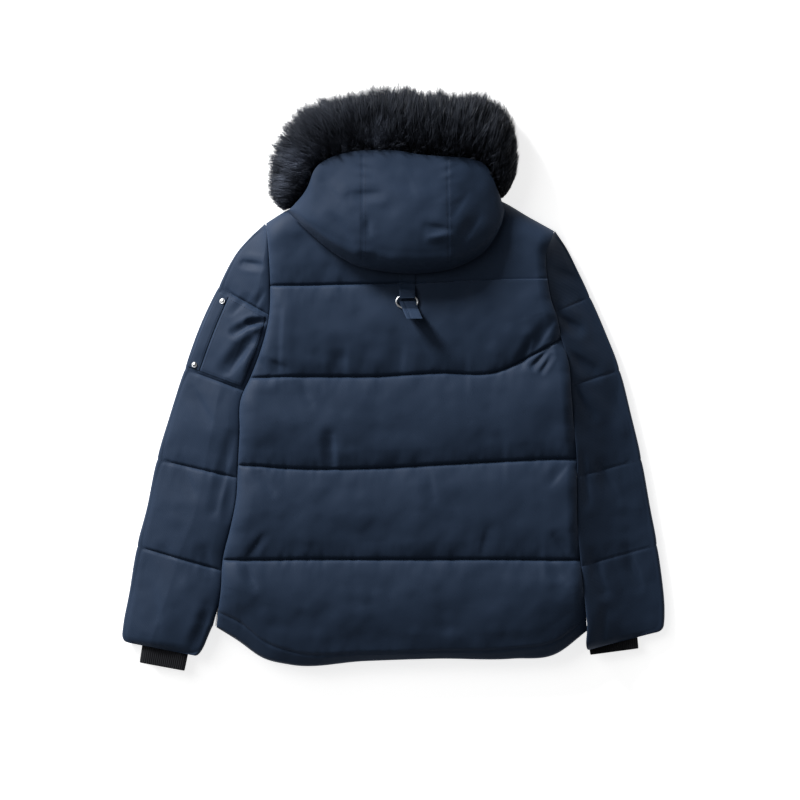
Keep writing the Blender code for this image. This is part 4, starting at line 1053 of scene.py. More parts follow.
def thin_cloth(name, top, down, paint):
    """A thin closed sheet from a grid of outer points and the way down through it."""
    rows, columns = top.shape[:2]
    count = rows * columns
    over_faces = grid_faces(rows, columns)
    r, c = border(rows, columns)
    loop = r * columns + c
    faces = over_faces.tolist() + (over_faces[:, ::-1] + count).tolist()
    faces += ring_faces(loop + count, loop).tolist()
    points = np.concatenate([top.reshape(-1, 3), (top + down).reshape(-1, 3)])
    near = np.minimum(steps_from_ends(rows)[:, None], steps_from_ends(columns)[None])
    rubbed = np.exp(-near / PATCH_RUBBED_STEPS).ravel()
    return make_piece(name, points, faces, paint, "shell_cloth",
                      rubbed=np.concatenate([rubbed, np.zeros(count)]))


def steps_from_ends(count):
    """How many steps each place in a row is from the nearer end."""
    steps = np.arange(count)
    return np.minimum(steps, steps[::-1])


def patch_grid(patch):
    """Points of a patch that lies on the left sleeve, thinner towards its edges."""
    line, across = np.meshgrid(np.linspace(POCKET_START, POCKET_END, PATCH_ROWS),
                               np.linspace(patch.left, patch.right, patch.columns),
                               indexing="ij")
    top = sleeve_top("sleeve_left", line, across)[0]
    near = [np.minimum(np.linspace(0, 1, count), np.linspace(1, 0, count)) * count
            for count in (PATCH_ROWS, patch.columns)]
    away = np.minimum(near[0][:, None], near[1][None])
    soft = 1.0 - np.exp(-away / PATCH_EDGE_STEPS)
    top[..., 2] += mix(PATCH_TOP - PATCH_EDGE_DROP, PATCH_TOP, soft)
    return top


def inner_loop(top, margin):
    """A closed line of stitching a few grid steps inside a patch's edge."""
    inside = top[margin:-margin, margin:-margin]
    r, c = border(*inside.shape[:2])
    return inside[np.append(r, 0), np.append(c, 0)] + PATCH_STITCH_LIFT


pocket_twill = navy_twill("pocket_navy_twill", 0.5)
pocket_seams = []
for pocket_patch in POCKET_PATCHES:
    patch_top = patch_grid(pocket_patch)
    cloth = thin_cloth(pocket_patch.name + "_cloth", patch_top[::-1], PATCH_DOWN, pocket_twill)
    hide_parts(pocket_patch.name)
    pocket_seams.append(inner_loop(patch_top, PATCH_SEAM_STEPS))
lay_stitches("pocket_stitches", pocket_seams, navy_thread)


def add_snap(snap):
    """A domed press stud, turned to the slope of the placket under it."""
    down, aside = SNAP_SLOPE_STEPS
    at = sleeve_top("sleeve_left", np.array([snap.line, snap.line + down, snap.line]),
                    np.array([snap.across, snap.across, snap.across + aside]))[0]
    normal = Vector(at[1] - at[0]).cross(Vector(at[2] - at[0])).normalized()
    if normal.z < 0.0:
        normal.negate()
    turn = normal.to_track_quat("Z", "Y")
    centre = Vector(at[0]) + Vector((0.0, 0.0, PATCH_TOP)) + normal * SNAP_LIFT
    rings = []
    for radius, height in SNAP_PROFILE:
        ring = []
        for angle in np.linspace(0.0, 2.0 * math.pi, SNAP_POINTS, endpoint=False):
            flat = Vector((math.cos(angle) * radius, math.sin(angle) * radius, height))
            ring.append(tuple(centre + turn @ (flat * SNAP_RADIUS)))
        rings.append(np.array(ring))
    points, faces = stacked_rings(rings)
    piece = make_piece(snap.name + "_stud", points, faces, stud_steel, "bright_metal", 40.0)
    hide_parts(snap.name)


stud_steel = bright_steel("stud_steel", 0.16)
for stud in SNAPS:
    add_snap(stud)

# --------------------------------------------------------------------------- Rib cuffs
# A tube of black two-by-two rib knit is sewn inside each sleeve's hem and reaches out of
# it, pressed flat like the sleeve.

CUFF_OUTSIDE = 26.0
CUFF_INSIDE = 22.0
CUFF_HALF_THICKNESS = 3.6
CUFF_WALL = 2.4
RIB_PITCH = 3.4
RIB_DEPTH = 0.9
KNIT_STEP = 1.5
KNIT_SLANT = 9.0
KNIT_RELIEF = 0.12
POINTS_PER_RIB = 8
CUFF_ROW_SPACING = 0.75
CUFF_TAPER = 1.5
CUFF_LIP_RIBS = 0.6
# Rounded lip of a cuff: how far from its end, and how much narrower and thinner
CUFF_LIP = ((-0.9, 1.7, 0.25), (-0.3, 2.1, 0.6), (0.0, 2.8, 1.4))
CUFF_INNER_RINGS = (CUFF_OUTSIDE - 0.6, CUFF_OUTSIDE - 3.0, 4.0 - CUFF_INSIDE)
# Painted shade for the troughs between the ribs, and the knit's paler colour on the crests
RIB_TROUGH_SHADE = (0.0028, 0.0032, 0.0044, 1.0)
RIB_PALE = (0.0095, 0.0102, 0.0135, 1.0)
Cuff = namedtuple("Cuff", "name x y z turn width tilt")
CUFFS = (
    Cuff("cuff_left", -376, -452, 22.4, 10.0, 79.0, 6.8),
    Cuff("cuff_right", 365, -427, 21.0, -7.0, 84.0, -10.6),
)


def rib_knit():
    """Wool rib knit, black, with a fuzzy face and painted shade in the troughs between ribs.
    """
    paint, shade, shader = start_material(
        "black_rib_knit", Sheen_Weight=0.10, Sheen_Roughness=0.5,
        Specular_IOR_Level=0.12)
    fuzz = place_of(shade).noise(1500.0, 3.0)
    crest = shade.attribute("crest")
    # The troughs between the ribs get painted shade
    colour = (crest * 0.7 + fuzz * 0.5 - 0.15).clipped().mixed(RIB_TROUGH_SHADE, RIB_PALE)
    join_shader(shader, colour, fuzz * 0.2 + 0.7, bumped(fuzz, 0.5, 0.0003))
    return paint


def cuff_ring(cuff, distance, half_width, half_height, ribbed):
    """One closed section of a cuff at a distance along it, and its rib crests."""
    turn = math.radians(cuff.turn)
    count = int(cuff.width / RIB_PITCH) * POINTS_PER_RIB
    share = np.linspace(-1.0, 1.0, count, endpoint=False)
    share = np.concatenate([share, -share])
    side = np.concatenate([np.ones(count), -np.ones(count)])
    height = side * half_height * (1.0 - np.abs(share) ** 8)
    wave = 0.5 + 0.5 * np.cos(share * cuff.width / RIB_PITCH * math.pi)
    knit = np.sin(distance / KNIT_STEP * 2.0 * math.pi + share * KNIT_SLANT)
    crest = np.clip(wave + knit * KNIT_RELIEF, 0.0, 1.0)
    height -= side * ribbed * RIB_DEPTH * (1.0 - crest) * (1.0 - share**8)
    x = cuff.x - math.sin(turn) * distance + math.cos(turn) * half_width * share
    y = cuff.y - math.cos(turn) * distance - math.sin(turn) * half_width * share
    middle = cuff.z + 0.5 * cuff.tilt * share
    return np.stack([x, y, middle + height], 1), crest * ribbed


def add_cuff(cuff):
    """One rib cuff: the outside from the sleeve to its lip, then back inside."""
    half = 0.5 * cuff.width
    rings = []
    for distance in np.arange(-CUFF_INSIDE, CUFF_OUTSIDE - 1.5, CUFF_ROW_SPACING):
        drawn = CUFF_TAPER * (distance + CUFF_INSIDE) / (CUFF_INSIDE + CUFF_OUTSIDE)
        rings.append(cuff_ring(cuff, distance, half - drawn, CUFF_HALF_THICKNESS, 1.0))
    for distance, drawn, height in CUFF_LIP:
        rings.append(cuff_ring(cuff, CUFF_OUTSIDE + distance, half - drawn,
                               CUFF_HALF_THICKNESS - height, CUFF_LIP_RIBS))
    inside = CUFF_HALF_THICKNESS - CUFF_WALL
    for distance in CUFF_INNER_RINGS:
        rings.append(cuff_ring(cuff, distance, half - CUFF_WALL - CUFF_TAPER, inside, 0.0))
    points, faces = stacked_rings([ring for ring, crest in rings])
    crests = np.concatenate([crest for ring, crest in rings])
    piece = make_piece(cuff.name + "_knit", points, faces, cuff_knit, "rib_knit",
                       crest=crests)
    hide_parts(cuff.name)


cuff_knit = rib_knit()
for wrist in CUFFS:
    add_cuff(wrist)

# ------------------------------------------------------------------------------ Collar
# The stand collar is a padded band of the same twill. It is folded flat beyond the neck
# seam and lies under the hood.

COLLAR_LEFT = 0.19
COLLAR_RIGHT = 0.78
COLLAR_TOP_Y = 344.0
COLLAR_END_RISE = 20.0
COLLAR_GAP = 0.9
COLLAR_DRAW = 0.35
COLLAR_POINTS = 110
COLLAR_LEVELS = 15
COLLAR_ROLL = 13.0
COLLAR_FOLD_DEPTH = 3.0
COLLAR_FOLD_WIDTH = 0.07
COLLAR_WAVE = 0.8
COLLAR_WAVES = 22.0
HOOD_SEAT = 58.0


def add_collar():
    """The collar as rings from the table up to the underside of the hood."""
    shares = np.linspace(0.0, 1.0, COLLAR_POINTS)
    last = np.full(COLLAR_POINTS, YOKE)
    neck_x, neck_y = back_place(last, np.ones(COLLAR_POINTS),
                                mix(COLLAR_LEFT, COLLAR_RIGHT, shares))[:2]
    low = neck_y + COLLAR_GAP
    bow = 1.0 - np.abs(2.0 * shares - 1.0) ** 4
    high = mix(neck_y[0] + COLLAR_GAP + COLLAR_END_RISE, COLLAR_TOP_Y, bow)
    rings = []
    for level in np.linspace(0.0, 1.0, COLLAR_LEVELS):
        fold = math.exp(-((level - 0.5) / COLLAR_FOLD_WIDTH) ** 2) * COLLAR_FOLD_DEPTH
        inset = COLLAR_ROLL * (1.0 - math.sin(math.pi * level) ** 0.5) + fold
        draw = np.minimum(inset, COLLAR_DRAW * (high - low))
        x = mix(neck_x[0] + inset, neck_x[-1] - inset, shares)
        up = np.full(COLLAR_POINTS, level * 3.0)
        wave = COLLAR_WAVE * ripples(shares * COLLAR_WAVES, up, seed=71)
        ring_x = np.concatenate([x, x[::-1]])
        ring_y = np.concatenate([low + draw, (high - draw + wave)[::-1]])
        z = np.full_like(ring_x, mix(TABLE_CLEARANCE, HOOD_SEAT - TOP_CLEARANCE, level))
        rings.append(np.stack([ring_x, ring_y, z], 1))
    points, faces = stacked_rings(rings)
    piece = make_piece("collar_cloth", points, faces, navy_twill("collar_navy_twill"),
                       "shell_cloth", rubbed=np.zeros(len(points)))
    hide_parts("collar")


add_collar()

# -------------------------------------------------------------------------------- Hood
# The hood is sewn from three padded panels of twill. Folded back on the yoke, it makes a
# full pouch with a soft rolled crown, and its face edge is sewn to the fur.

# The pouch: its rise over the seat, how it falls to both sides and more to the right,
# and its height from the crown fold to the fur as shares
HOOD_RISE = 60.0
HOOD_MIDDLE_X = 8.0
HOOD_HALF_WIDTH = 200.0
HOOD_SIDE_FALL = 0.56
HOOD_SIDE_POWER = 1.7
HOOD_RIGHT_PANEL_X = 96.0
HOOD_RIGHT_FALL = 0.30
HOOD_RIGHT_REACH = 100.0
HOOD_DOME_SHARES = (0.0, 0.08, 0.18, 0.36, 0.6, 1.0)
HOOD_DOME_RISES = (0.40, 0.78, 0.93, 1.0, 0.92, 0.60)
HOOD_FULLEST_SHARE = 0.36
HOOD_FULL_LENGTH = 200.0
HOOD_TIP_LENGTH = 40.0
HOOD_LEAST_RISE = 6.0
# The crown fold, and the seams between the panels
HOOD_FOLD_RADIUS = 16.0
HOOD_FOLD_SHARE = 0.3
HOOD_RUBBED_FOLD = 12.0
HOOD_LINE_SPACING = 46.0
HOOD_PANEL_SEAM = 0.3
HOOD_PANEL_GAP = 0.05
HOOD_SEAM_WIDTH = 0.08
HOOD_STITCH_AWAY = 0.09
HOOD_GATHER_SHARE = 0.8
HOOD_ROWS = 84
HOOD_COLUMNS_PER_LINE = 18
# The underside, and the rings that round it: height over the seat and distance drawn in
HOOD_DRAW_LIMIT = 0.3
HOOD_EDGE_DRAW = 0.2
HOOD_UNDER_GAP = 0.2
HOOD_UNDER_DRAW = 0.07
HOOD_UNDER_RINGS = ((12.0, 0.6), (9.0, 2.0), (5.5, 5.0), (2.6, 9.5), (0.4, 15.0))

# Sections round the face opening: the crown fold (low), the edge sewn to the fur (up)
# and the tips of the fur, with the height of the fur there
HoodLine = namedtuple("HoodLine", "low_x low_y up_x up_y fur_x fur_y fur_z")
HOOD_LINES = tuple(HoodLine(*row) for row in (
    (-172, 274, -162, 283, -181, 279, 44),
    (-157, 259, -147, 299, -198, 296, 66),
    (-142, 244, -137, 315, -205, 320, 78),
    (-125, 229, -127, 340, -201, 360, 86),
    (-106, 213, -111, 355, -186, 399, 92),
    (-79, 195, -84, 366, -145, 449, 96),
    (-48, 181, -48, 372, -78, 469, 98),
    (10, 172, 5, 372, 10, 480, 98),
    (53, 172, 50, 365, 54, 474, 98),
    (94, 178, 91, 362, 96, 469, 96),
    (125, 190, 124, 360, 154, 466, 91),
    (149, 205, 152, 350, 190, 440, 84),
    (165, 223, 165, 328, 205, 389, 76),
    (177, 243, 173, 310, 206, 350, 68),
    (184, 262, 177, 300, 196, 317, 56),
    (187, 272, 178, 297, 184, 300, 42),
))
HoodPanel = namedtuple("HoodPanel", "name start end")
HOOD_PANELS = (
    HoodPanel("hood_left", 0, 6), HoodPanel("hood_center", 6, 9),
    HoodPanel("hood_right", 9, 15),
)
HOOD_SEAMS = tuple(panel.end for panel in HOOD_PANELS[:-1])
HOOD_CREASES = tuple(Crease(*row) for row in (
    (-66, 298, -22, 300, 8, 2.6),
    (-40, 258, -37, 238, 6, 2.2),
    (58, 247, 92, 241, 7, 2.6),
    (62, 228, 90, 234, 6, -2.4),
    (-48, 201, -28, 196, 6, 2.4),
    (-44, 184, -14, 181, 5, -2.6),
    (-96, 262, -70, 228, 9, 1.6),
    (120, 300, 96, 262, 10, 1.6),
    (140, 262, 118, 226, 9, 1.6),
    (-110, 318, -84, 286, 9, 1.4),
    (20, 330, 34, 296, 10, 1.2),
))


def hood_ends(line):
    """The crown fold, sewn edge, fur tips and fur height at line numbers."""
    numbers = np.arange(len(HOOD_LINES))
    return [curve(numbers, [row[i] for row in HOOD_LINES], line) for i in range(7)]


def hood_surface(line, share):
    """Points of the hood's outer face, and how rubbed it is there."""
    low_x, low_y, up_x, up_y = hood_ends(line)[:4]
    length = np.hypot(up_x - low_x, up_y - low_y)
    x = mix(low_x, up_x, share)
    y = mix(low_y, up_y, share)
    full = 1.0 - np.exp(-length / HOOD_TIP_LENGTH)
    fold = round_over(share * length, np.minimum(HOOD_FOLD_RADIUS, 0.5 * length))
    aside = (x - HOOD_MIDDLE_X) / HOOD_HALF_WIDTH
    dome = curve(HOOD_DOME_SHARES, HOOD_DOME_RISES, share)
    shorter = np.where(share > HOOD_FULLEST_SHARE, length / HOOD_FULL_LENGTH, 1.0)
    dome = 1.0 - (1.0 - dome) * shorter
    fall = HOOD_SIDE_FALL * np.abs(aside) ** HOOD_SIDE_POWER
    fall += HOOD_RIGHT_FALL * np.maximum(x - HOOD_RIGHT_PANEL_X, 0.0) / HOOD_RIGHT_REACH
    dome = dome * (1.0 - fall) * mix(HOOD_FOLD_SHARE, 1.0, fold)
    rise = HOOD_RISE * dome * full
    away = np.minimum(*(np.abs(line - seam) for seam in HOOD_SEAMS))
    rise -= HOOD_PANEL_SEAM * np.exp(-(away / HOOD_SEAM_WIDTH) ** 2) * fold
    gathers = puckers(share * length, away * HOOD_LINE_SPACING, seed=81)
    rise += (gathers * HOOD_GATHER_SHARE + swells(x, y, seed=91)) * fold * full
    rise -= creased(x, y, HOOD_CREASES) * fold
    z = HOOD_SEAT + np.maximum(rise, HOOD_LEAST_RISE)
    return np.stack([x, y, z], -1), np.exp(-share * length / HOOD_RUBBED_FOLD)


def hood_flat(line, share, inset):
    """Flat points of the hood, drawn in at the crown fold and less at the fur."""
    low_x, low_y, up_x, up_y = hood_ends(line)[:4]
    length = np.hypot(up_x - low_x, up_y - low_y)
    drawn = np.minimum(inset / length, HOOD_DRAW_LIMIT)
    drawn = mix(drawn, 1.0 - HOOD_EDGE_DRAW * drawn, share)
    return mix(low_x, up_x, drawn), mix(low_y, up_y, drawn)


def add_hood_panel(name, start, end):
    """One of the hood's padded panels."""
    columns = (end - start) * HOOD_COLUMNS_PER_LINE
    shares = spaced(HOOD_ROWS, 0.5)
    lines = mix(start, end, spaced(columns, 0.3))
    share_at, line_at = np.meshgrid(shares, lines, indexing="ij")
    top, rubbed = hood_surface(line_at, share_at)
    half_gap = np.zeros(columns)
    half_gap[0] = HOOD_PANEL_GAP if start > 0 else 0.0
    half_gap[-1] = -HOOD_PANEL_GAP if name != "hood_right" else 0.0
    top[..., 0] += half_gap
    r, c = border(len(shares), columns)
    under = []
    for rise, inset in HOOD_UNDER_RINGS:
        line = lines[c]
        draw = HOOD_UNDER_DRAW * inset / HOOD_UNDER_RINGS[-1][1]
        if name == "hood_left":
            line = end - (end - line) * (1.0 - draw)
        if name == "hood_right":
            line = start + (line - start) * (1.0 - draw)
        x, y = hood_flat(line, shares[r], inset)
        ring = np.stack([x + half_gap[c], y, np.full(len(x), HOOD_SEAT + rise)], 1)
        ring[:, 2] = np.minimum(ring[:, 2], top[r, c, 2] - HOOD_UNDER_GAP)
        under.append(ring)
    piece = draped_panel(name + "_cloth", top, under, hood_twill, "shell_cloth",
                         rubbed=rubbed)
    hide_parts(name)


hood_twill = navy_twill("hood_navy_twill")
for panel in HOOD_PANELS:
    add_hood_panel(*panel)
hood_paths = []
down_hood = np.linspace(0.06, 0.97, 130)
for seam_line in HOOD_SEAMS:
    for beside in (-HOOD_STITCH_AWAY, HOOD_STITCH_AWAY):
        seam_at = np.full(len(down_hood), seam_line + beside)
        hood_paths.append(hood_surface(seam_at, down_hood)[0])
lay_stitches("hood_stitches", hood_paths, navy_thread)

# ---------------------------------------------------------------------------- Fur ruff
# A thick ruff of black fur on a stuffed strip of pelt, sewn round the hood's face edge.
# The hair stands in short tufts that lean outwards, with a few longer guard hairs.

FUR_GAP = 0.5
PELT_FULLNESS = 0.60
PELT_SECTIONS = 190
PELT_POINTS = 40
# Tufts: hairs in each, where they root round the ruff's section, and how widely they
# differ in line number, share round the section, reach and tone
TUFT_HAIRS = 15
TUFT_ROOTS = (0.03, 0.95)
TUFT_LINE_SPREAD = 0.20
TUFT_AROUND_SPREAD = 0.08
TUFT_REACH = (0.90, 1.09)
TUFT_SWELL = 0.07
TUFT_SWELLS = (3.6, 9.0)
TUFT_TONE = 0.42
TUFT_TONE_POWER = 2.2
# Single hairs: size, lean, and how widely they differ from their tuft
HAIR_WIDTH = 1.0
HAIR_LEAN = 0.13
HAIR_LINE_SPREAD = 0.085
HAIR_AROUND_SPREAD = 0.022
TIP_LINE_SPREAD = 0.02
TIP_AROUND_SPREAD = 0.006
TIP_OPENING = 0.28
REACH_SPREAD = 0.035
BEND_SPREAD = 0.05
BEND_UP = 0.10
HAIR_TONE = 0.12
ROOT_DEPTH = 0.06
HAIR_LEAST_Z = 0.8
BEND_LEAST_Z = 0.6
GUARD_HAIR_SHARE = 0.05
GUARD_HAIR_REACH = 0.07
GUARD_HAIR_WIDTH = 0.6
# The blade of a hair: share along it with its width there, and faces between the points
HAIR_BLADE = ((0.0, 1.0), (0.42, 0.85), (0.76, 0.5))
HAIR_FACES = ((0, 1, 3), (0, 3, 2), (2, 3, 5), (2, 5, 4), (4, 5, 6))
# Hair from the ruff's inner side lies over the hood's edge
OVERHANG_REACH = 0.12
HOOD_OVERHANG = 14.0
HOOD_OVERHANG_LIFT = 12.0
PELT_BLACK = (0.0028, 0.0033, 0.0046, 1.0)
FUR_DEEP = (0.0066, 0.0078, 0.0109, 1.0)
FUR_PALE = (0.1120, 0.1300, 0.1740, 1.0)

# The ruff's section: distance out from the sewn edge and height, as shares
RuffPoint = namedtuple("RuffPoint", "out rise")
RUFF_SECTION = tuple(RuffPoint(*row) for row in (
    (0.0, 0.35), (0.0, 0.72), (0.09, 0.92), (0.28, 1.0), (0.52, 0.96), (0.75, 0.82),
    (0.91, 0.6), (1.0, 0.33), (0.97, 0.1), (0.88, 0.0),
))
RUFF_CORE = RuffPoint(0.0, 0.42)
RuffPart = namedtuple("RuffPart", "name start end tufts seed")
RUFF_PARTS = (
    RuffPart("fur_left_side", 0.0, 4.2, 1100, 101),
    RuffPart("fur_left_crown", 4.2, 7.0, 1350, 102),
    RuffPart("fur_right_crown", 7.0, 10.4, 1350, 103),
    RuffPart("fur_right_side", 10.4, 15.0, 1350, 104),
)
# Where the hair is paler: grey tufts, and painted light on the lit left side and by the hood's
# edge
PaleAndLitPatch = namedtuple("PaleAndLitPatch", "x y reach amount")
PALE_AND_LIT_PATCHES = (
    PaleAndLitPatch(-164, 355, 20, 1.8),
    PaleAndLitPatch(-186, 320, 15, 1.1),
    PaleAndLitPatch(-82, 378, 13, 0.7),
    PaleAndLitPatch(-18, 422, 12, 0.6),
    PaleAndLitPatch(-130, 374, 17, 0.8),
    PaleAndLitPatch(-184, 292, 18, 0.4),
    PaleAndLitPatch(-140, 330, 16, 0.5),
    PaleAndLitPatch(-24, 394, 16, 1.3),
)


def ruff_point(line, around, fullness):
    """Points in the ruff: line number, share round its section, share from its core."""
    up_x, up_y, fur_x, fur_y, height = hood_ends(line)[2:]
    length = np.hypot(fur_x - up_x, fur_y - up_y)
    start_x = up_x + (fur_x - up_x) / length * FUR_GAP
    start_y = up_y + (fur_y - up_y) / length * FUR_GAP
    numbers = np.arange(len(RUFF_SECTION))
    at = around * (len(RUFF_SECTION) - 1)
    out = mix(RUFF_CORE.out, curve(numbers, [row.out for row in RUFF_SECTION], at), fullness)
    rise = mix(RUFF_CORE.rise, curve(numbers, [row.rise for row in RUFF_SECTION], at),
               fullness)
    return np.stack([mix(start_x, fur_x, out), mix(start_y, fur_y, out), rise * height], -1)


def black_fur(name, deep, pale):
    """Dense black fur, its tips a little greyer, with a soft shine along the hair."""
    paint, shade, shader = start_material(
        name, Sheen_Weight=0.0, Specular_IOR_Level=0.12)
    tone = shade.attribute("tone")
    tip = shade.attribute("tip")
    speck = place_of(shade).noise(260.0, 2.0)
    amount = (tone * 0.6 + tip * 0.10 + speck * 0.12 - 0.08).clipped()
    join_shader(shader, amount.mixed(deep, pale), speck * 0.25 + 0.38)
    return paint


def add_pelt():
    """The stuffed strip that the hair grows from."""
    rings = []
    around = np.linspace(0.0, 1.0, PELT_POINTS)
    close = np.linspace(0.0, 1.0, 10)[1:-1, None]
    for line in np.linspace(0.0, len(HOOD_LINES) - 1.0, PELT_SECTIONS):
        ring = ruff_point(np.full(PELT_POINTS, line), around, PELT_FULLNESS)
        low = mix(ring[-1], ring[0], close)
        low[:, 2] = mix(ring[-1, 2], ring[0, 2], close[:, 0] ** 2)
        rings.append(np.concatenate([ring, low]))
    points, faces = stacked_rings(rings)
    flat = np.zeros(len(points))
    pelt_paint = black_fur("black_pelt", PELT_BLACK, FUR_DEEP)
    piece = make_piece("fur_pelt", points, faces, pelt_paint, "ruff_fur", tone=flat,
                       tip=flat)
    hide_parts("fur_ruff")


def tuft_lines(rng, start, end, count):
    """Line numbers spread evenly along the ruff's outer length."""
    fine = np.linspace(start, end, 400)
    edge = ruff_point(fine, np.full(len(fine), 0.5), 1.0)
    run = np.concatenate([[0.0], np.cumsum(np.linalg.norm(np.diff(edge, axis=0), axis=1))])
    return np.interp(rng.uniform(0.0, run[-1], count), run, fine)


def add_hair(part):
    """One stretch of the ruff's hair, each hair a bent tapering blade."""
    rng = np.random.default_rng(part.seed)
    tufts = part.tufts
    count = tufts * TUFT_HAIRS
    tuft = np.repeat(np.arange(tufts), TUFT_HAIRS)
    root_line = tuft_lines(rng, part.start, part.end, tufts)
    root_around = rng.uniform(*TUFT_ROOTS, tufts)
    tip_line = root_line + rng.normal(0.0, TUFT_LINE_SPREAD, tufts)
    tip_around = root_around + HAIR_LEAN + rng.normal(0.0, TUFT_AROUND_SPREAD, tufts)
    swell = ripples(root_line * TUFT_SWELLS[0], root_around * TUFT_SWELLS[1], seed=107)
    tuft_reach = rng.uniform(*TUFT_REACH, tufts) + TUFT_SWELL * swell
    tuft_tone = rng.uniform(0.0, TUFT_TONE, tufts) ** TUFT_TONE_POWER

    line = root_line[tuft] + rng.normal(0.0, HAIR_LINE_SPREAD, count)
    around = root_around[tuft] + rng.normal(0.0, HAIR_AROUND_SPREAD, count)
    last = len(HOOD_LINES) - 1.0
    line = np.clip(line, 0.0, last)
    end_line = tip_line[tuft] + TIP_OPENING * (line - root_line[tuft])
    end_line = np.clip(end_line + rng.normal(0.0, TIP_LINE_SPREAD, count), 0.0, last)
    end_around = tip_around[tuft] + TIP_OPENING * (around - root_around[tuft])
    end_around = np.clip(end_around + rng.normal(0.0, TIP_AROUND_SPREAD, count), 0.0, 1.0)
    reach = tuft_reach[tuft] + rng.normal(0.0, REACH_SPREAD, count)
    guard = rng.uniform(0.0, 1.0, count) < GUARD_HAIR_SHARE
    reach = np.where(guard, reach + GUARD_HAIR_REACH, reach)
    root = ruff_point(line, np.clip(around, 0.0, 1.0), PELT_FULLNESS - ROOT_DEPTH)
    tip = ruff_point(end_line, end_around, reach)
    inward = tip[:, :2] - ruff_point(end_line, np.full(count, 0.5), 1.0)[:, :2]
    inward /= np.linalg.norm(inward, axis=1)[:, None]
    over_hood = np.exp(-root_around[tuft] / OVERHANG_REACH)
    tip[:, :2] += HOOD_OVERHANG * inward * over_hood[:, None]
    tip[:, 2] += HOOD_OVERHANG_LIFT * over_hood
    tip[:, 2] = np.maximum(tip[:, 2], HAIR_LEAST_Z)
    root[:, 2] = np.maximum(root[:, 2], HAIR_LEAST_Z)
    along = tip - root
    length = np.linalg.norm(along, axis=1)[:, None]
    bow = rng.normal(0.0, 1.0, (count, 3)) * BEND_SPREAD * length
    bow[:, 2] += BEND_UP * length[:, 0]
    facing = np.cross(along / length, rng.normal(0.0, 1.0, (count, 3)))
    facing /= np.linalg.norm(facing, axis=1)[:, None]
    wide = facing * 0.5 * HAIR_WIDTH * np.where(guard, GUARD_HAIR_WIDTH, 1.0)[:, None]
    rows = []
    tips = []
    for share, width in HAIR_BLADE:
        middle = root + along * share + bow * 4.0 * share * (1.0 - share)
        middle[:, 2] = np.maximum(middle[:, 2], BEND_LEAST_Z)
        rows += [middle - wide * width, middle + wide * width]
        tips += [share, share]
    rows.append(tip)
    tips.append(1.0)
    points = np.stack(rows, 1).reshape(-1, 3)
    first = np.arange(count) * len(rows)
    faces = [np.stack([first + corner for corner in face], 1) for face in HAIR_FACES]
    tone = tuft_tone[tuft] + rng.uniform(0.0, HAIR_TONE, count)
    # Grey tufts, and painted light on the ruff's lit left side and along the hood's upper left
    # edge
    for patch in PALE_AND_LIT_PATCHES:
        away = np.hypot(tip[:, 0] - patch.x, tip[:, 1] - patch.y) / patch.reach
        tone = tone + patch.amount * np.exp(-away**2)
    make_piece(part.name, points, np.concatenate(faces).tolist(), hair_paint, "ruff_fur",
               180.0, tone=np.repeat(tone, len(rows)), tip=np.tile(tips, count))


add_pelt()
hair_paint = black_fur("black_fur", FUR_DEEP, FUR_PALE)
for ruff_part in RUFF_PARTS:
    add_hair(ruff_part)

# ------------------------------------------------------------------------- Hanger loop
# Below the hood a short strap of doubled twill holds a steel ring to the yoke. A second
# tab hangs from the ring, slanted a little, and is sewn down at its lower end.

# Both straps: doubled cloth that thins at its sewn edges and passes over the ring
STRAP_WIDTH = 26.0
STRAP_THICKNESS = 2.2
STRAP_ROWS = 40
STRAP_COLUMNS = 26
STRAP_DOWN = (0.0, 0.0, -1.3)
STRAP_EDGE_DROP = 0.8
STRAP_EDGE_POWER = 12
STRAP_OVER_RING = 0.3
STRAP_SEAM_STEPS = 3
STRAP_X = 25.0
STRAP_TOP_Y = 177.0
STRAP_END_Y = 131.0
# The tab, creased along one side and standing up towards its end
TAB_TOP_Y = 125.5
TAB_END_Y = 97.0
TAB_SHIFT = 12.0
TAB_FOLD = 0.30
TAB_FOLD_DEPTH = 0.9
TAB_FOLD_WIDTH = 1.6
TAB_LIFT = 26.0
TAB_FLAT_SHARE = 0.42
# The ring
RING_X = 24.5
RING_Y = 125.0
RING_HALF_WIDTH = 17.5
RING_HALF_HEIGHT = 11.0
RING_WIRE = 1.5
RING_POINTS = 72
WIRE_POINTS = 14
RING_CLEAR_LENGTH = 6.0
SURFACE_GAP = 0.5


def surface_tree(piece):
    """A search tree of a piece's faces."""
    return BVHTree.FromObject(piece, bpy.context.evaluated_depsgraph_get())


def height_over(tree, x, y):
    """Height in millimetres of a piece's face under a point."""
    hit = tree.ray_cast(Vector((x * MM, y * MM, 1.0)), Vector((0.0, 0.0, -1.0)))
    return hit[0].z / MM


def strap_height(x, y, share, side, lifted):
    """Height of a strap's outer face at a share of its length and of its width."""
    z = height_over(back_tree, x, y) + SURFACE_GAP
    away = abs(y - RING_Y) - RING_HALF_HEIGHT - RING_CLEAR_LENGTH
    away = max(away, 0.0) / RING_CLEAR_LENGTH
    z = max(z, mix(z, ring_top + STRAP_OVER_RING, math.exp(-away * away)))
    z += STRAP_THICKNESS - STRAP_EDGE_DROP * abs(2.0 * side) ** STRAP_EDGE_POWER
    if lifted:
        z += TAB_LIFT * max(share - TAB_FLAT_SHARE, 0.0) / (1.0 - TAB_FLAT_SHARE)
        from_fold = (side + 0.5 - TAB_FOLD) * STRAP_WIDTH
        z -= TAB_FOLD_DEPTH * math.exp(-(from_fold / TAB_FOLD_WIDTH) ** 2)
    return z


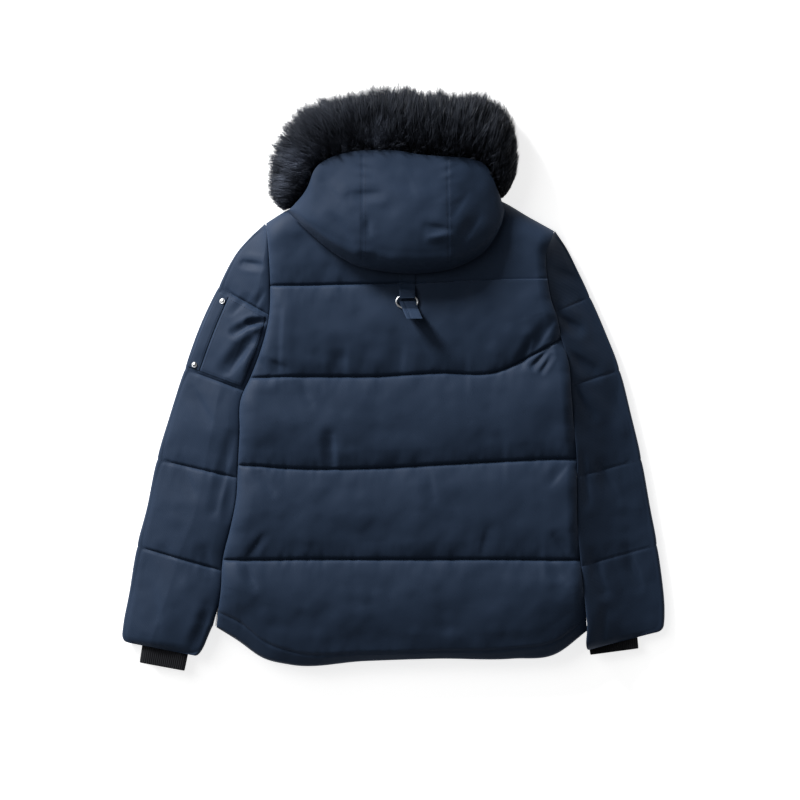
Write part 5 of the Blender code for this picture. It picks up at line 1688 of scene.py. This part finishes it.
def add_strap(name, start, end, shift):
    """A doubled strap laid on the back, raised over the ring, with its edges sewn."""
    top = np.zeros((STRAP_ROWS, STRAP_COLUMNS, 3))
    for r in range(STRAP_ROWS):
        share = r / (STRAP_ROWS - 1)
        y = mix(start, end, share)
        for c in range(STRAP_COLUMNS):
            side = c / (STRAP_COLUMNS - 1) - 0.5
            x = STRAP_X + shift * share + side * STRAP_WIDTH
            top[r, c] = (x, y, strap_height(x, y, share, side, shift > 0.0))
    piece = thin_cloth(name + "_cloth", top, STRAP_DOWN, strap_twill)
    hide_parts(name)
    lay_stitches(name + "_stitches", [inner_loop(top, STRAP_SEAM_STEPS)], navy_thread)


def add_hanger_ring():
    """The ring: round steel wire bent to an oval, lying on the back; gives its top."""
    angles = np.linspace(0.0, 2.0 * math.pi, RING_POINTS, endpoint=False)
    x = RING_X + RING_HALF_WIDTH * np.cos(angles)
    y = RING_Y + RING_HALF_HEIGHT * np.sin(angles)
    height = max(height_over(back_tree, *place) for place in zip(x, y))
    height += SURFACE_GAP + RING_WIRE
    points = []
    for angle, middle_x, middle_y in zip(angles, x, y):
        outward = np.array((math.cos(angle) * RING_HALF_HEIGHT,
                            math.sin(angle) * RING_HALF_WIDTH))
        outward /= np.linalg.norm(outward)
        for turn in np.linspace(0.0, 2.0 * math.pi, WIRE_POINTS, endpoint=False):
            out = math.cos(turn) * RING_WIRE
            points.append((middle_x + outward[0] * out, middle_y + outward[1] * out,
                           height + math.sin(turn) * RING_WIRE))
    faces = []
    for i in range(RING_POINTS):
        lower = np.arange(WIRE_POINTS) + i * WIRE_POINTS
        upper = np.arange(WIRE_POINTS) + (i + 1) % RING_POINTS * WIRE_POINTS
        faces += ring_faces(upper, lower).tolist()
    piece = make_piece("hanger_ring_wire", points, faces, bright_steel("ring_steel", 0.30),
                       "bright_metal")
    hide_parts("hanger_ring")
    return height + RING_WIRE


back_tree = surface_tree(back_cloth)
ring_top = add_hanger_ring()
strap_twill = navy_twill("strap_navy_twill", 0.6)
add_strap("hanger_strap", STRAP_TOP_Y, STRAP_END_Y, 0.0)
add_strap("hanger_tab", TAB_TOP_Y, TAB_END_Y, TAB_SHIFT)

# -------------------------------------------------------------------------------- Zips
# Short steel zips close the two side vents above the hem. The long front zip lies shut
# between the fronts, face down on the table, with its slider at the neck.

TOOTH_PITCH = 1.9
TOOTH_LENGTH = 1.15
FRONT_ZIP_START = -440.0
FRONT_ZIP_END = 235.0
FRONT_ZIP_Z = 3.1
FRONT_TOOTH_HALF = 2.2
FRONT_TOOTH_HALF_HEIGHT = 1.6
FRONT_TOOTH_STAGGER = 0.9
FRONT_SLIDER_HALF = 3.8
FRONT_SLIDER_GAP = 0.5
FRONT_SLIDER_LENGTH = 13.0
FRONT_SLIDER_Z = (0.7, 5.5)
VENT_Z = 24.5
VENT_AWAY = 1.7
VENT_STAGGER = 0.3
VENT_TOOTH_HALF = 1.1
VENT_TOOTH_UNDER = 2.2
VENT_TOOTH_OVER = 2.4
VENT_SLIDER_GAP = 0.4
SLIDER_LENGTH = 9.0
CORNER_CUT_SHARE = 0.6
# Body and crown of a vent's slider: half width, start and end along the edge, and how
# far under and over the zip's middle each reaches
SliderBlock = namedtuple("SliderBlock", "half start end under over")
VENT_SLIDER = (SliderBlock(1.5, 0.0, 6.2, 3.2, 3.4), SliderBlock(0.9, 6.4, 8.6, 2.0, 2.4))
VentZip = namedtuple("VentZip", "name edge side start end")
VENT_ZIPS = (
    VentZip("left", LEFT_EDGE, -1, -410.0, -385.0),
    VentZip("right", RIGHT_EDGE, 1, -401.0, -386.0),
)


def block_on(x, half, start, end, low, high):
    """The two corners of a block that is centred on x."""
    return (x - half, start, low), (x + half, end, high)


def rounded_block(low, high, bevel):
    """Points and faces of a block with cut corners, between two corners."""
    middle = 0.5 * (np.array(low) + np.array(high))
    half = 0.5 * (np.array(high) - np.array(low))
    rings = []
    for z, draw in ((-1, bevel), (-1, 0.0), (1, 0.0), (1, bevel)):
        level = z * (half[2] - (0.0 if draw else bevel))
        w = half[0] - draw
        h = half[1] - draw
        cut = CORNER_CUT_SHARE * bevel
        ring = [(-w, -h + cut), (-w + cut, -h), (w - cut, -h), (w, -h + cut),
                (w, h - cut), (w - cut, h), (-w + cut, h), (-w, h - cut)]
        rings.append(np.array([(x, y, level) for x, y in ring]) + middle)
    return stacked_rings(rings)


def add_blocks(name, blocks, paint, bevel, *nodes):
    """Small blocks joined in one piece, which stands for the named solids."""
    points = []
    faces = []
    for low, high in blocks:
        block_points, block_faces = rounded_block(low, high, bevel)
        faces += [[n + len(points) for n in face] for face in block_faces]
        points += block_points.tolist()
    piece = make_piece(name, points, faces, paint, "bright_metal", 30.0)
    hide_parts(*nodes)
    return piece


def add_vent_zip(vent):
    """A vent zip: interlocked teeth along the body's edge and the slider above them."""
    teeth = []
    for i, y in enumerate(np.arange(vent.start + 1.0, vent.end, TOOTH_PITCH)):
        away = VENT_AWAY + VENT_STAGGER * (-1) ** i
        x = float(curve(*zip(*vent.edge), y)) + vent.side * away
        teeth.append(block_on(x, VENT_TOOTH_HALF, y - 0.5 * TOOTH_LENGTH,
                              y + 0.5 * TOOTH_LENGTH, VENT_Z - VENT_TOOTH_UNDER,
                              VENT_Z + VENT_TOOTH_OVER))
    add_blocks("vent_teeth_" + vent.name, teeth, zip_steel, 0.25, "side_zip_" + vent.name)
    low_y = vent.end + VENT_SLIDER_GAP
    middle = low_y + 0.5 * SLIDER_LENGTH
    x = float(curve(*zip(*vent.edge), middle)) + vent.side * VENT_AWAY
    slider = [block_on(x, block.half, low_y + block.start, low_y + block.end,
                       VENT_Z - block.under, VENT_Z + block.over) for block in VENT_SLIDER]
    add_blocks("vent_slider_" + vent.name, slider, zip_steel, 0.5,
               "side_zip_slider_" + vent.name)


zip_steel = bright_steel("zip_steel", 0.2)
for vent_zip in VENT_ZIPS:
    add_vent_zip(vent_zip)
front_teeth = []
for number, tooth_y in enumerate(np.arange(FRONT_ZIP_START, FRONT_ZIP_END, TOOTH_PITCH)):
    tooth_x = CENTRE_FRONT + FRONT_TOOTH_STAGGER * (-1) ** number
    front_teeth.append(block_on(tooth_x, FRONT_TOOTH_HALF, tooth_y, tooth_y + TOOTH_LENGTH,
                                FRONT_ZIP_Z - FRONT_TOOTH_HALF_HEIGHT,
                                FRONT_ZIP_Z + FRONT_TOOTH_HALF_HEIGHT))
add_blocks("front_zip_teeth", front_teeth, zip_steel, 0.3, "front_zip")
front_slider = block_on(CENTRE_FRONT, FRONT_SLIDER_HALF, FRONT_ZIP_END + FRONT_SLIDER_GAP,
                        FRONT_ZIP_END + FRONT_SLIDER_LENGTH, *FRONT_SLIDER_Z)
add_blocks("front_zip_slider_body", (front_slider,), zip_steel, 0.8, "front_zip_slider")
